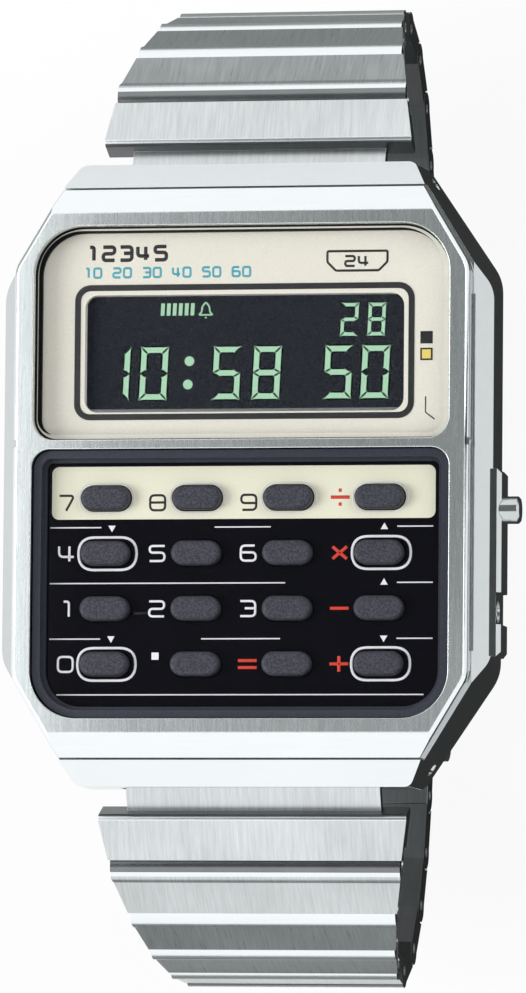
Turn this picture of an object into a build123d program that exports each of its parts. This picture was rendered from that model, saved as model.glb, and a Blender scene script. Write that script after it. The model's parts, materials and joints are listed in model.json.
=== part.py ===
from build123d import *
import os
from math import asin, cos, degrees, radians, sin, sqrt

# A calculator wristwatch with a steel link bracelet, in millimetres.
# The origin is the centre of the case back's outer face. +Z leaves the dial, +Y points to
# 12 o'clock and +X to 3 o'clock. The closed bracelet hangs below the case.

# Clearances and overruns that several pieces share
running_gap = 0.04
fixed_gap = 0.05
moving_gap = 0.12
cut_over = 1.0

# Case body
case_width = 34.4
case_length = 43.2
case_corner_length = 9.3
case_corner_inset = 5.6
case_straight_length = case_length - 2 * case_corner_length
case_end_width = case_width - 2 * case_corner_inset
foot_corner_length = 7.7
foot_corner_inset = 5.25
foot_straight_length = case_length - 2 * foot_corner_length
foot_end_width = case_width - 2 * foot_corner_inset
case_side_radius = 3.0
case_end_radius = 0.8
case_floor = 0.4
case_foot_bevel = 0.6
case_shoulder_start = 5.1
case_shoulder_inset = 1.2
case_deck = 6.4
case_end_top = 7.4
case_end_brow = 5.7

# Cavity for the module
cavity_side_wall = 3.8
cavity_end_wall = 5.4
cavity_width = case_width - 2 * cavity_side_wall
cavity_length = case_length - 2 * cavity_end_wall
cavity_radius = 4.5
plate_seat = 5.9

# Bezel
bezel_side_margin = 1.25
bezel_end_margin = 1.9
bezel_corner_margin = 0.1
bezel_width = case_width - 2 * bezel_side_margin
bezel_length = case_length - 2 * bezel_end_margin
bezel_top = 8.2
bezel_facet_length = 1.7
bezel_end_drop = 0.7
bezel_end_gap = 0.12
bezel_edge_bevel = 0.25
bezel_corner_radius = 2.0
bezel_groove = 0.2
seam_width = 0.15
seam_depth = 0.4

# Openings of the bezel: the display's window, the keypad's, and the bar between them
window_rail = 1.38
window_head = 2.6
bar_width = 0.65
bar_low = 1.6
window_width = bezel_width - 2 * window_rail
window_low = bar_low + bar_width
window_high = bezel_length / 2 - window_head
window_high_radius = 3.4
window_low_radius = 1.5
keypad_rail = 1.35
keypad_tail = 2.7
keypad_opening_width = bezel_width - 2 * keypad_rail
keypad_opening_low = keypad_tail - bezel_length / 2
keypad_high_radius = 1.25
keypad_low_radius = 3.3

# Recess under the bezel for the dial and keypad plates
plate_overlap = 0.2
recess_width = window_width + 2 * plate_overlap
recess_high = window_high + plate_overlap
recess_low = keypad_opening_low - plate_overlap
recess_high_radius = window_high_radius + plate_overlap
recess_low_radius = keypad_low_radius + plate_overlap

# Crystal and its gasket
crystal_thickness = 1.4
crystal_bevel = 0.3
crystal_gasket_thickness = 0.3
crystal_gasket_width = 0.35

# Display and dial plate
display_side_wall = 1.45
display_sill = 1.35
display_head = 3.9
display_width = cavity_width - 2 * display_side_wall
display_low = window_low + display_sill
display_high = window_high - display_head
display_thickness = 1.3
view_side_margin = 0.75
view_low_margin = 0.65
view_high_margin = 0.8
display_view_width = display_width - 2 * view_side_margin
display_view_low = display_low + view_low_margin
display_view_high = display_high - view_high_margin
display_view_radius = 0.9
dial_thickness = 0.5
dial_gap = 0.1
dial_low = bar_low + dial_gap

# Keypad plate
keypad_base_thickness = 0.65
keypad_lip_top = 7.6
keypad_lip_width = 0.55
keypad_step_width = 0.25
keypad_step_height = 0.4

# Keys
key_length = 3.45
key_width = 1.7
key_top = 7.4
key_edge_radius = 0.3
key_slot_gap = 0.08
key_flange_overhang = 0.36
key_flange_thickness = 0.4
key_travel = 0.3
key_side_margin = 5.0
key_high_margin = 3.3
key_low_margin = 3.81
key_names = [
    ["seven", "eight", "nine", "divide"],
    ["four", "five", "six", "multiply"],
    ["one", "two", "three", "minus"],
    ["zero", "point", "equals", "plus"],
]

# Module: frame, circuit board, display strips, key mat, cell and clip
module_floor = 1.0
board_thickness = 0.6
board_top = 3.4
board_margin = 0.9
board_width = cavity_width - 2 * board_margin
board_length = cavity_length - 2 * board_margin
board_radius = 3.6
key_bay_side_wall = 1.3
key_bay_end_wall = 1.2
key_bay_drop = 0.3
key_bay_width = cavity_width - 2 * key_bay_side_wall
key_bay_low = key_bay_end_wall - cavity_length / 2
key_bay_high = bar_low - key_bay_drop
key_bay_radius = 2.0
strip_width = 1.2
mat_thickness = 0.8
mat_pip_radius = 1.1
mat_pip_edge = 0.25
cell_diameter = 20.0
cell_thickness = 1.6
cell_rim = 0.25
cell_end_room = 3.7
cell_center_y = cavity_length / 2 - cell_diameter / 2 - cell_end_room
clip_thickness = 0.2
clip_width = 6.0
clip_foot = 1.6

# Case back, its gasket and screws
back_side_margin = 2.3
back_end_margin = 4.0
back_width = case_width - 2 * back_side_margin
back_length = case_length - 2 * back_end_margin
back_inset = 1.1
back_thickness = 0.8
back_edge_bevel = 0.2
back_gasket_offset = 0.15
back_gasket_width = 0.6
back_gasket_depth = 0.4
screw_corner_reach = 0.7
screw_end_margin = 1.2
screw_x = case_end_width / 2 + screw_corner_reach
screw_y = back_length / 2 - screw_end_margin
screw_head_radius = 0.65
screw_head_height = 0.45
screw_sink = 0.1
screw_radius = 0.4
screw_length = 3.2
screw_slot_width = 0.2
screw_slot_depth = 0.2

# Pushers on the 3 o'clock side and the guard around them
pusher_z = 4.2
mode_pusher_y = -2.48
mode_pusher_radius = 0.95
mode_pusher_reach = 1.8
adjust_pusher_margin = 2.8
adjust_pusher_y = adjust_pusher_margin - case_straight_length / 2
adjust_pusher_radius = 0.72
adjust_pusher_reach = 0.1
pusher_tip_bevel = 0.15
pusher_stem_radius = 0.45
pusher_head_depth = 0.7
pusher_spring_room = 1.6
pusher_web = 0.5
pusher_stem_tail = 0.25
pusher_clip_thickness = 0.25
pusher_clip_radius = 1.1
pusher_clip_bore = 0.2
guard_height = 0.6
guard_mode_margin = 2.8
guard_adjust_margin = 3.1
guard_high = mode_pusher_y + guard_mode_margin
guard_low = adjust_pusher_y - guard_adjust_margin
guard_floor = 1.9
guard_roof = 5.3
guard_bevel = 0.3
guard_notch_below = 0.9
guard_notch_above = 1.3
guard_notch_depth = 0.33
spring_wire = 0.14
spring_turns = 4

# Lugs and spring bars
lug_slot_width = 18.1
lug_slot_roof = 3.9
lug_bar_inset = 1.3
lug_bar_y = case_length / 2 - lug_bar_inset
lug_bar_z = 2.6
bar_radius = 0.7
bar_tip_radius = 0.4
bar_tip_length = 2.0
tongue_gap = 0.1
tongue_width = lug_slot_width - 2 * tongue_gap
tongue_radius = 1.15
tongue_outer = -0.05
tongue_inner = 0.85

# Bracelet links: the near end of a link faces the case
link_pitch = 4.4
first_link_pitch = 7.1
first_nose = 3.4
first_nose_radius = 0.4
link_roll_radius = 1.2
link_outer = 1.05
link_inner = 0.9
knuckle_radius = 0.8
knuckle_web_top = 0.3
knuckle_width_share = 0.46
pin_radius = 0.4
pin_end_recess = 0.15
open_pivot_gap = 0.25
link_slopes = [22, 47, 61, 73, 84, 113, 136, 152, 162, 168]
first_link_shoulder = 1.8
first_link_width = lug_slot_width + 2 * first_link_shoulder
last_link_width = 15.6
link_taper_shares = [0.793, 0.517, 0.293, 0.103, 0]

# Clasp: everything follows arcs about one centre above the watch
clasp_radius = 80.0
leaf_thickness = 0.8
leaf_gap = 1.3
leaf_catch_notch = 0.5
ear_gap = 0.15
ear_thickness = 0.4
ear_radius = 1.0
cover_wall = 0.5
cover_wall_gap = 0.1
cover_lift = 1.3
cover_start = 1.6
cover_stop = 2.1
cover_rib_height = 0.2
cover_rib_width = 1.4
clamped_count = 5
lock_length = 8.0
lock_thickness = 0.7
lock_start = 3.4
lock_lift = 0.2
lock_knuckle_radius = 0.6
lock_pin_radius = 0.3
lock_ear_width = 1.8
lock_tab = 0.8


def outline(width, length, center_y, high_radius, low_radius):
    """Rectangle whose 12 o'clock and 6 o'clock corners have their own radii."""
    face = Pos(0, center_y) * Rectangle(width, length)
    face = fillet(face.vertices().group_by(Axis.Y)[-1], high_radius)
    return fillet(face.vertices().group_by(Axis.Y)[0], low_radius)


def window(width, low, high, high_radius, low_radius):
    """Outline between two heights on the dial, centred on the 12 to 6 o'clock line."""
    return outline(width, high - low, (high + low) / 2, high_radius, low_radius)


def slab(face, low, high):
    """Plate of one outline between two levels."""
    return extrude(Pos(0, 0, low) * face, high - low, dir=(0, 0, 1))


def octagon(width, straight_length, end_width, length):
    """Long octagon: straight sides, slanted corners, square ends."""
    corners = [
        (width / 2, straight_length / 2),
        (end_width / 2, length / 2),
        (-end_width / 2, length / 2),
        (-width / 2, straight_length / 2),
        (-width / 2, -straight_length / 2),
        (-end_width / 2, -length / 2),
        (end_width / 2, -length / 2),
        (width / 2, -straight_length / 2),
    ]
    return Polygon(*corners, align=None)


def soften(face, side_radius, end_radius):
    """Rounds the side corners and the end corners of an octagon."""
    rows = face.vertices().group_by(Axis.Y)
    face = fillet(rows[1] + rows[-2], side_radius)
    rows = face.vertices().group_by(Axis.Y)
    return fillet(rows[0] + rows[-1], end_radius)


def across(profile, width):
    """Bar of one side profile, centred on the middle plane of the watch."""
    return extrude(Plane.YZ * profile, width / 2, both=True)


def rod(radius, length, y, z, x=0):
    """Round bar along X."""
    return Pos(x, y, z) * Rot(0, 90, 0) * Cylinder(radius, length)


def block(low, high):
    """Box between two corners."""
    size = [b - a for a, b in zip(low, high)]
    middle = [(a + b) / 2 for a, b in zip(low, high)]
    return Pos(*middle) * Box(*size)


def both_ends(solid):
    """The solid and its copy at the other end of the case."""
    return solid + mirror(solid, about=Plane.XZ)


def case_plan():
    """Plan of the case body."""
    plan = octagon(case_width, case_straight_length, case_end_width, case_length)
    return soften(plan, case_side_radius, case_end_radius)


def foot_plan():
    """Plan of the case body at its foot, where the corners stand out further."""
    plan = octagon(case_width, foot_straight_length, foot_end_width, case_length)
    return soften(plan, case_side_radius, case_end_radius)


def bezel_plan():
    """Plan of the bezel: a rectangle whose corners follow the case's slanted corners."""
    corners = octagon(case_width, case_straight_length, case_end_width, case_length)
    return offset(corners, -bezel_corner_margin) & Rectangle(bezel_width, bezel_length)


def recess_plan(gap=0):
    """Plan of the recess under the bezel, or of what fits in it with a gap all round."""
    return window(
        recess_width - 2 * gap,
        recess_low + gap,
        recess_high - gap,
        recess_high_radius - gap,
        recess_low_radius - gap,
    )


def back_plan():
    """Plan of the case back: the case's own corners, drawn in."""
    return offset(case_plan(), -back_inset) & Rectangle(back_width, back_length)


def cavity_plan(grow=0):
    """Plan of the module cavity, grown by a gap or shrunk by a negative one."""
    return outline(
        cavity_width + 2 * grow,
        cavity_length + 2 * grow,
        0,
        cavity_radius + grow,
        cavity_radius + grow,
    )


def pusher_places():
    """Place along the side, radius and reach of each pusher."""
    return [
        (mode_pusher_y, mode_pusher_radius, mode_pusher_reach),
        (adjust_pusher_y, adjust_pusher_radius, adjust_pusher_reach),
    ]


def pusher_head_inner():
    """X of the inner face of a pusher's head at rest."""
    return case_width / 2 - pusher_head_depth


def pusher_step():
    """X of the step that a pusher's spring bears on."""
    return pusher_head_inner() - pusher_spring_room


def case_outside():
    """Outer body of the case: walls, sloped shoulders, a brow at each end and the pusher guard."""
    half = case_length / 2
    brow = bezel_length / 2 + bezel_end_gap
    side = Polygon(
        (-half, case_floor),
        (half, case_floor),
        (half, case_end_brow),
        (brow, case_end_top),
        (brow, case_deck),
        (-brow, case_deck),
        (-brow, case_end_top),
        (-half, case_end_brow),
        align=None,
    )
    body = loft([Pos(0, 0, case_floor) * foot_plan(), Pos(0, 0, case_end_top) * case_plan()], ruled=True)
    body = chamfer(body.faces().sort_by(Axis.Z)[0].edges(), case_foot_bevel)
    body &= across(side, case_width)
    edge = case_width / 2
    shoulder = Polygon(
        (edge, case_shoulder_start),
        (edge + cut_over, case_shoulder_start),
        (edge + cut_over, case_end_top + cut_over),
        (edge - case_shoulder_inset, case_end_top + cut_over),
        (edge - case_shoulder_inset, case_deck),
        align=None,
    )
    wedge = extrude(Plane.XZ * shoulder, half, both=True)
    body -= wedge + mirror(wedge, about=Plane.YZ)
    guard = block(
        (edge - guard_height, guard_low, guard_floor),
        (edge + guard_height, guard_high, guard_roof),
    )
    guard = chamfer(guard.faces().sort_by(Axis.X)[-1].edges(), guard_bevel)
    return body + guard


def bezel_seams():
    """Narrow grooves in the deck beside the bezel's straight sides."""
    length = case_straight_length
    seam = block(
        (bezel_width / 2, -length / 2, case_deck - seam_depth),
        (bezel_width / 2 + seam_width, length / 2, case_deck + cut_over),
    )
    return seam + mirror(seam, about=Plane.YZ)


def case_body():
    """Case body with its cavity, plate recess, back seat, lug slots and pusher bores."""
    body = case_outside() - bezel_seams()
    body -= slab(cavity_plan(), -cut_over, plate_seat + cut_over)
    body -= slab(recess_plan(), plate_seat, case_deck + cut_over)
    body -= slab(offset(back_plan(), fixed_gap), -cut_over, back_thickness)
    groove = cavity_plan(back_gasket_offset + back_gasket_width) - cavity_plan(back_gasket_offset)
    body -= slab(groove, back_thickness - cut_over, back_thickness + back_gasket_depth)
    slot_depth = tongue_radius + moving_gap
    slot = block(
        (-lug_slot_width / 2, lug_bar_y - slot_depth, case_floor - cut_over),
        (lug_slot_width / 2, case_length / 2 + cut_over, lug_slot_roof),
    )
    body -= both_ends(slot)
    body -= both_ends(rod(bar_tip_radius + running_gap / 2, case_width, lug_bar_y, lug_bar_z))
    for x in (-screw_x, screw_x):
        for y in (-screw_y, screw_y):
            body -= Pos(x, y, screw_length / 2 + screw_sink + screw_head_height / 2) * Cylinder(
                screw_radius + running_gap / 4, screw_length + screw_head_height
            )
    notch_x = case_width / 2 + guard_height - guard_notch_depth
    body -= block(
        (notch_x, adjust_pusher_y - guard_notch_below, guard_floor - cut_over),
        (notch_x + cut_over, adjust_pusher_y + guard_notch_above, guard_roof + cut_over),
    )
    for y, radius, reach in pusher_places():
        body -= pusher_bores(y, radius)
    return body


def pusher_bores(y, radius):
    """Stepped bore of one pusher through the 3 o'clock wall."""
    outer = case_width / 2 + guard_height + cut_over
    step = pusher_step()
    inner = step - pusher_web
    cavity_wall = cavity_width / 2 - cut_over
    stem_radius = pusher_stem_radius + running_gap
    clip_radius = pusher_clip_radius + moving_gap
    head = rod(radius + running_gap, outer - step, y, pusher_z, (outer + step) / 2)
    stem_hole = rod(stem_radius, outer - cavity_wall, y, pusher_z, (outer + cavity_wall) / 2)
    clip_room = rod(clip_radius, inner - cavity_wall, y, pusher_z, (inner + cavity_wall) / 2)
    return head + stem_hole + clip_room


def pusher(y, radius, reach):
    """Pusher with its stem, and the clip that keeps it in as a second solid."""
    tip = case_width / 2 + reach
    head_inner = pusher_head_inner()
    clip_outer = pusher_step() - pusher_web
    clip_inner = clip_outer - pusher_clip_thickness
    tail = clip_inner - pusher_stem_tail
    head = rod(radius, tip - head_inner, y, pusher_z, (tip + head_inner) / 2)
    head = chamfer(head.faces().sort_by(Axis.X)[-1].edges(), pusher_tip_bevel)
    body = head + rod(pusher_stem_radius, head_inner - tail, y, pusher_z, (head_inner + tail) / 2)
    clip_x = (clip_outer + clip_inner) / 2
    groove = rod(pusher_stem_radius, pusher_clip_thickness, y, pusher_z, clip_x)
    groove -= rod(pusher_stem_radius - pusher_clip_bore, pusher_clip_thickness, y, pusher_z, clip_x)
    clip = rod(pusher_clip_radius, pusher_clip_thickness, y, pusher_z, clip_x)
    clip -= rod(pusher_stem_radius - pusher_clip_bore, pusher_clip_thickness, y, pusher_z, clip_x)
    mouth = block(
        (clip_inner, y - pusher_clip_bore, pusher_z - pusher_clip_radius),
        (clip_outer, y + pusher_clip_bore, pusher_z),
    )
    return Compound(children=[body - groove, clip - mouth])


def pusher_springs():
    """Coil spring of each pusher, between the step in the case and the pusher's head."""
    springs = []
    for y, radius, reach in pusher_places():
        height = pusher_spring_room - spring_wire - fixed_gap
        coil_radius = (pusher_stem_radius + radius) / 2
        path = Helix(height / spring_turns, height, coil_radius)
        start = Plane(path @ 0, z_dir=path % 0)
        coil = sweep(start * Circle(spring_wire / 2), path=path, is_frenet=True)
        foot = pusher_step() + (pusher_spring_room - height) / 2
        springs.append(Pos(foot, y, pusher_z) * Rot(0, 90, 0) * coil)
    return Compound(children=springs)


def bezel():
    """Top frame: display window, keypad opening, the bar between them and sloped ends."""
    plan = bezel_plan()
    rows = plan.vertices().group_by(Axis.Y)
    plan = fillet(rows[1] + rows[-2], bezel_corner_radius)
    frame = slab(plan, case_deck, bezel_top)
    frame = chamfer(frame.faces().sort_by(Axis.Z)[-1].edges(), bezel_edge_bevel)
    end_z = bezel_top - bezel_end_drop
    facet = Polygon(
        (bezel_length / 2 - bezel_facet_length, bezel_top),
        (bezel_length / 2, end_z),
        (bezel_length / 2 + cut_over, end_z),
        (bezel_length / 2 + cut_over, bezel_top + cut_over),
        (bezel_length / 2 - bezel_facet_length, bezel_top + cut_over),
        align=None,
    )
    frame -= both_ends(across(facet, bezel_width + cut_over))
    display = window(window_width, window_low, window_high, window_high_radius, window_low_radius)
    keypad = window(
        keypad_opening_width, keypad_opening_low, bar_low, keypad_high_radius, keypad_low_radius
    )
    frame -= slab(display, case_deck - cut_over, bezel_top + cut_over)
    frame -= slab(keypad, case_deck - cut_over, bezel_top + cut_over)
    for side in (-1, 1):
        edge = side * bezel_width / 2
        frame -= block(
            (min(edge, edge - side * bezel_groove), bar_low + bezel_groove, case_deck - cut_over),
            (max(edge, edge - side * bezel_groove) + fixed_gap, window_low, bezel_top + cut_over),
        )
    return frame


def crystal_outline(shrink):
    """Outline of the display window, drawn in all round."""
    return window(
        window_width - 2 * shrink,
        window_low + shrink,
        window_high - shrink,
        window_high_radius - shrink,
        window_low_radius - shrink,
    )


def display_crystal():
    """Clear crystal with a bevelled upper edge."""
    low = case_deck + crystal_gasket_thickness
    crystal = slab(crystal_outline(fixed_gap), low, low + crystal_thickness)
    return chamfer(crystal.faces().sort_by(Axis.Z)[-1].edges(), crystal_bevel)


def crystal_gasket():
    """Flat ring that the crystal lies on."""
    ring = crystal_outline(fixed_gap) - crystal_outline(fixed_gap + crystal_gasket_width)
    return slab(ring, case_deck, case_deck + crystal_gasket_thickness)


def dial_plate():
    """Printed plate under the crystal, with the display's window."""
    width = recess_width - 2 * fixed_gap
    high_radius = recess_high_radius - fixed_gap
    plate = window(width, dial_low, recess_high - fixed_gap, high_radius, fixed_gap)
    view = window(
        display_view_width, display_view_low, display_view_high, display_view_radius, display_view_radius
    )
    return slab(plate - view, plate_seat, plate_seat + dial_thickness)


def lcd_panel():
    """Glass display panel against the underside of the dial plate."""
    face = window(display_width, display_low, display_high, fixed_gap, fixed_gap)
    return slab(face, plate_seat - display_thickness, plate_seat)


def key_places():
    """Name and centre of each key, row by row from 12 o'clock."""
    gaps = len(key_names) - 1
    left = key_side_margin - keypad_opening_width / 2
    high = bar_low - key_high_margin
    low = keypad_opening_low + key_low_margin
    places = []
    for row, names in enumerate(key_names):
        for column, name in enumerate(names):
            x = left - column * 2 * left / (len(names) - 1)
            places.append((name, x, high - row * (high - low) / gaps))
    return places


def keypad_plate():
    """Keypad face plate with a stepped lip round it and an opening for each key."""
    high = bar_low - fixed_gap
    low = keypad_opening_low + fixed_gap
    width = keypad_opening_width - 2 * fixed_gap
    base = recess_plan(fixed_gap) & window(recess_width, recess_low, high, fixed_gap, fixed_gap)
    plate_top = plate_seat + keypad_base_thickness
    plate = slab(base, plate_seat, case_deck)
    plate += slab(window(width, low, high, keypad_high_radius, keypad_low_radius), plate_seat, plate_top)
    lip = keypad_ring(width, low, high, 0, keypad_lip_width)
    step = keypad_ring(width, low, high, keypad_lip_width, keypad_lip_width + keypad_step_width)
    plate += slab(lip, case_deck, keypad_lip_top)
    plate += slab(step, case_deck, plate_top + keypad_step_height)
    hole = SlotOverall(key_length + 2 * key_slot_gap, key_width + 2 * key_slot_gap)
    for name, x, y in key_places():
        plate -= slab(Pos(x, y) * hole, plate_seat - cut_over, plate_top + cut_over)
    return plate


def keypad_ring(width, low, high, outer, inner):
    """Ring inside the keypad opening between two insets."""
    rings = []
    for inset in (outer, inner):
        rings.append(
            window(
                width - 2 * inset,
                low + inset,
                high - inset,
                keypad_high_radius - inset,
                keypad_low_radius - inset,
            )
        )
    return rings[0] - rings[1]


def key(x, y):
    """Key cap with the flange that keeps it under the plate."""
    cap = slab(SlotOverall(key_length, key_width), plate_seat, key_top)
    cap = fillet(cap.faces().sort_by(Axis.Z)[-1].edges(), key_edge_radius)
    flange = SlotOverall(key_length + 2 * key_flange_overhang, key_width + 2 * key_flange_overhang)
    cap += slab(flange, plate_seat - key_flange_thickness, plate_seat)
    return Pos(x, y) * cap


def board_plan(grow=0):
    """Plan of the circuit board."""
    return outline(board_width + 2 * grow, board_length + 2 * grow, 0, board_radius, board_radius)


def key_bay(shrink=0):
    """Plan of the bay that the key mat lies in."""
    return window(
        key_bay_width - 2 * shrink,
        key_bay_low + shrink,
        key_bay_high - shrink,
        key_bay_radius - shrink,
        key_bay_radius - shrink,
    )


def module_frame():
    """Resin frame that holds the board, the display and the key mat."""
    frame = slab(cavity_plan(-fixed_gap), module_floor, plate_seat)
    frame -= slab(board_plan(fixed_gap), module_floor - cut_over, board_top)
    bay = window(
        display_width + 2 * fixed_gap,
        display_low - fixed_gap,
        display_high + fixed_gap,
        fixed_gap,
        fixed_gap,
    )
    frame -= slab(bay, board_top - cut_over, plate_seat + cut_over)
    frame -= slab(key_bay(), board_top - cut_over, plate_seat + cut_over)
    inside = board_width / 2 - cut_over
    outside = cavity_width / 2 + cut_over
    for y, radius, reach in pusher_places():
        hole = pusher_stem_radius + moving_gap
        frame -= rod(hole, outside - inside, y, pusher_z, (outside + inside) / 2)
    return frame


def circuit_board():
    """Board against the shoulder of the module frame."""
    return slab(board_plan(), board_top - board_thickness, board_top)


def elastomer_strips():
    """Two contact strips between the board and the display's edges."""
    strips = []
    length = display_view_width
    for y in (display_low + strip_width, display_high - strip_width):
        low = (-length / 2, y - strip_width / 2, board_top)
        strips.append(block(low, (length / 2, y + strip_width / 2, plate_seat - display_thickness)))
    return Compound(children=strips)


def key_mat():
    """Rubber sheet on the board with a pip under each key."""
    mat = slab(key_bay(fixed_gap), board_top, board_top + mat_thickness)
    pip_top = plate_seat - key_flange_thickness - key_travel - fixed_gap
    pip_height = pip_top - board_top
    pip = Pos(0, 0, board_top + pip_height / 2) * Cylinder(mat_pip_radius, pip_height)
    pip = fillet(pip.faces().sort_by(Axis.Z)[-1].edges(), mat_pip_edge)
    for name, x, y in key_places():
        mat += Pos(x, y) * pip
    return mat


def battery_cell():
    """Coin cell with its crimped rim, against the underside of the board."""
    top = board_top - board_thickness
    can = Pos(0, cell_center_y, top - cell_thickness / 2) * Cylinder(cell_diameter / 2, cell_thickness)
    return fillet(can.faces().sort_by(Axis.Z)[0].edges(), cell_rim)


def battery_clip():
    """Sprung strap under the cell, with an arm and a foot at each end that reach the board."""
    board_under = board_top - board_thickness
    cell_under = board_under - cell_thickness
    reach = cell_diameter / 2 + clip_thickness
    strap = block(
        (-clip_width / 2, cell_center_y - reach, cell_under - clip_thickness),
        (clip_width / 2, cell_center_y + reach, cell_under),
    )
    for side in (-1, 1):
        inner = cell_center_y + side * (cell_diameter / 2 + fixed_gap)
        outer = inner + side * clip_thickness
        foot = inner + side * clip_foot
        strap += block(
            (-clip_width / 2, min(inner, outer), cell_under - clip_thickness),
            (clip_width / 2, max(inner, outer), board_under),
        )
        strap += block(
            (-clip_width / 2, min(inner, foot), board_under - clip_thickness),
            (clip_width / 2, max(inner, foot), board_under),
        )
    return strap


def case_back():
    """Back plate, flush screws in its corners."""
    back = slab(back_plan(), 0, back_thickness)
    back = chamfer(back.faces().sort_by(Axis.Z)[0].edges(), back_edge_bevel)
    for x in (-screw_x, screw_x):
        for y in (-screw_y, screw_y):
            head_depth = screw_sink + screw_head_height
            back -= Pos(x, y, head_depth / 2) * Cylinder(screw_head_radius + fixed_gap, head_depth)
            back -= Pos(x, y, back_thickness / 2) * Cylinder(screw_radius + fixed_gap, back_thickness)
    return back


def back_gasket():
    """Seal in the groove round the cavity."""
    ring = cavity_plan(back_gasket_offset + back_gasket_width - fixed_gap) - cavity_plan(
        back_gasket_offset + fixed_gap
    )
    return slab(ring, back_thickness, back_thickness + back_gasket_depth - fixed_gap)


def back_screws():
    """Four slotted screws, their heads sunk below the back's face."""
    screws = []
    for x in (-screw_x, screw_x):
        for y in (-screw_y, screw_y):
            head = Pos(0, 0, screw_sink + screw_head_height / 2) * Cylinder(
                screw_head_radius, screw_head_height
            )
            shank_base = screw_sink + screw_head_height
            head += Pos(0, 0, shank_base + (screw_length - screw_head_height) / 2) * Cylinder(
                screw_radius, screw_length - screw_head_height
            )
            head -= block(
                (-screw_head_radius, -screw_slot_width / 2, 0),
                (screw_head_radius, screw_slot_width / 2, screw_sink + screw_slot_depth),
            )
            screws.append(Pos(x, y) * head)
    return Compound(children=screws)


def spring_bars():
    """Telescopic bar in each lug slot, its tips in the lugs."""
    barrel = rod(bar_radius, lug_slot_width - 2 * fixed_gap, lug_bar_y, lug_bar_z)
    bar = barrel + rod(bar_tip_radius, lug_slot_width + 2 * bar_tip_length, lug_bar_y, lug_bar_z)
    return Compound(children=[bar, mirror(bar, about=Plane.XZ)])


def link_widths():
    """Width of the bracelet at each link's ends, from the case to the clasp."""
    spread = first_link_width - last_link_width
    widths = [first_link_width]
    for share in link_taper_shares:
        widths.append(last_link_width + spread * share)
    while len(widths) < len(link_slopes) + 1:
        widths.append(last_link_width)
    return widths


def link_starts():
    """Hinge centre (y, z) at the near end of each link, and at the far end of the last one."""
    y, z = lug_bar_y, lug_bar_z
    points = [(y, z)]
    for index, slope in enumerate(link_slopes):
        pitch = first_link_pitch if index == 0 else link_pitch
        y += pitch * cos(radians(slope))
        z -= pitch * sin(radians(slope))
        points.append((y, z))
    return points


def knuckle_cut(far_width):
    """Room in a roll for the knuckle and web of the link before it."""
    width = far_width * knuckle_width_share + 2 * moving_gap
    room = rod(knuckle_radius + moving_gap, width, 0, 0)
    roof = knuckle_web_top + moving_gap
    deep = link_roll_radius + cut_over
    return room + block((-width / 2, -deep, -deep), (width / 2, 0, roof))


def link_body(near_end, nose, pitch, near_width, far_width, knuckle):
    """Link plate along +Y: a shaped near end, a hollow far end and a middle knuckle."""
    end = pitch if knuckle else pitch - link_roll_radius - open_pivot_gap
    side = near_end + Polygon(
        (nose, -link_inner), (end, -link_inner), (end, link_outer), (nose, link_outer), align=None
    )
    side -= Polygon(
        (nose - link_roll_radius, -link_inner),
        (end, -link_inner),
        (end, -link_inner - cut_over),
        (nose - link_roll_radius, -link_inner - cut_over),
        align=None,
    )
    if knuckle:
        side -= Pos(pitch, 0) * Circle(link_roll_radius + moving_gap)
    body = across(side, near_width)
    plan = Polygon(
        (-near_width / 2, nose - link_roll_radius - cut_over),
        (near_width / 2, nose - link_roll_radius - cut_over),
        (near_width / 2, nose),
        (far_width / 2, pitch),
        (-far_width / 2, pitch),
        (-near_width / 2, nose),
        align=None,
    )
    body &= slab(plan, -link_roll_radius - cut_over, link_roll_radius + cut_over)
    if knuckle:
        web_start = pitch - link_roll_radius - 2 * moving_gap
        width = far_width * knuckle_width_share
        body += block((-width / 2, web_start, -knuckle_radius), (width / 2, pitch, knuckle_web_top))
        body += rod(knuckle_radius, width, pitch, 0)
        body -= rod(pin_radius + running_gap, width + cut_over, pitch, 0)
    return body


def hinge_link(near_width, far_width, knuckle=True):
    """Bracelet link on its own pin at the near end, along +Y from the pin."""
    body = link_body(Circle(link_roll_radius), 0, link_pitch, near_width, far_width, knuckle)
    body -= knuckle_cut(near_width)
    body -= rod(pin_radius + running_gap / 4, near_width + cut_over, 0, 0)
    return [body, rod(pin_radius, near_width - 2 * pin_end_recess, 0, 0)]


def first_link(near_width, far_width):
    """Link next to the case: its tongue wraps the spring bar in the lug slot."""
    face = first_nose - first_nose_radius
    near_end = Pos(first_nose, link_outer - first_nose_radius) * Circle(first_nose_radius)
    near_end += Polygon(
        (face, -link_inner),
        (first_nose, -link_inner),
        (first_nose, link_outer - first_nose_radius),
        (face, link_outer - first_nose_radius),
        align=None,
    )
    body = link_body(near_end, first_nose, first_link_pitch, near_width, far_width, True)
    tongue = Circle(tongue_radius) + Polygon(
        (0, -tongue_inner),
        (first_nose, -tongue_inner),
        (first_nose, tongue_outer),
        (0, tongue_outer),
        align=None,
    )
    body += across(tongue, tongue_width)
    return [body - rod(bar_radius + running_gap, tongue_width + cut_over, 0, 0)]


def place_link(solids, start, slope):
    """Turns a link down by its slope and sets its near hinge in place."""
    y, z = start
    return [Pos(0, y, z) * Rot(-slope, 0, 0) * solid for solid in solids]


def bracelet():
    """All links of both halves; the lower half's last link ends short of the clasp's pin."""
    nodes = {}
    widths = link_widths()
    starts = link_starts()
    for index, slope in enumerate(link_slopes):
        last = index == len(link_slopes) - 1
        for half in ("upper", "lower"):
            if index == 0:
                solids = first_link(widths[0], widths[1])
            else:
                solids = hinge_link(widths[index], widths[index + 1], half == "upper" or not last)
            solids = place_link(solids, starts[index], slope)
            if half == "lower":
                solids = [mirror(solid, about=Plane.XZ) for solid in solids]
            nodes[f"{half}_link_{index + 1}"] = Compound(children=solids)
    return nodes


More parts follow.
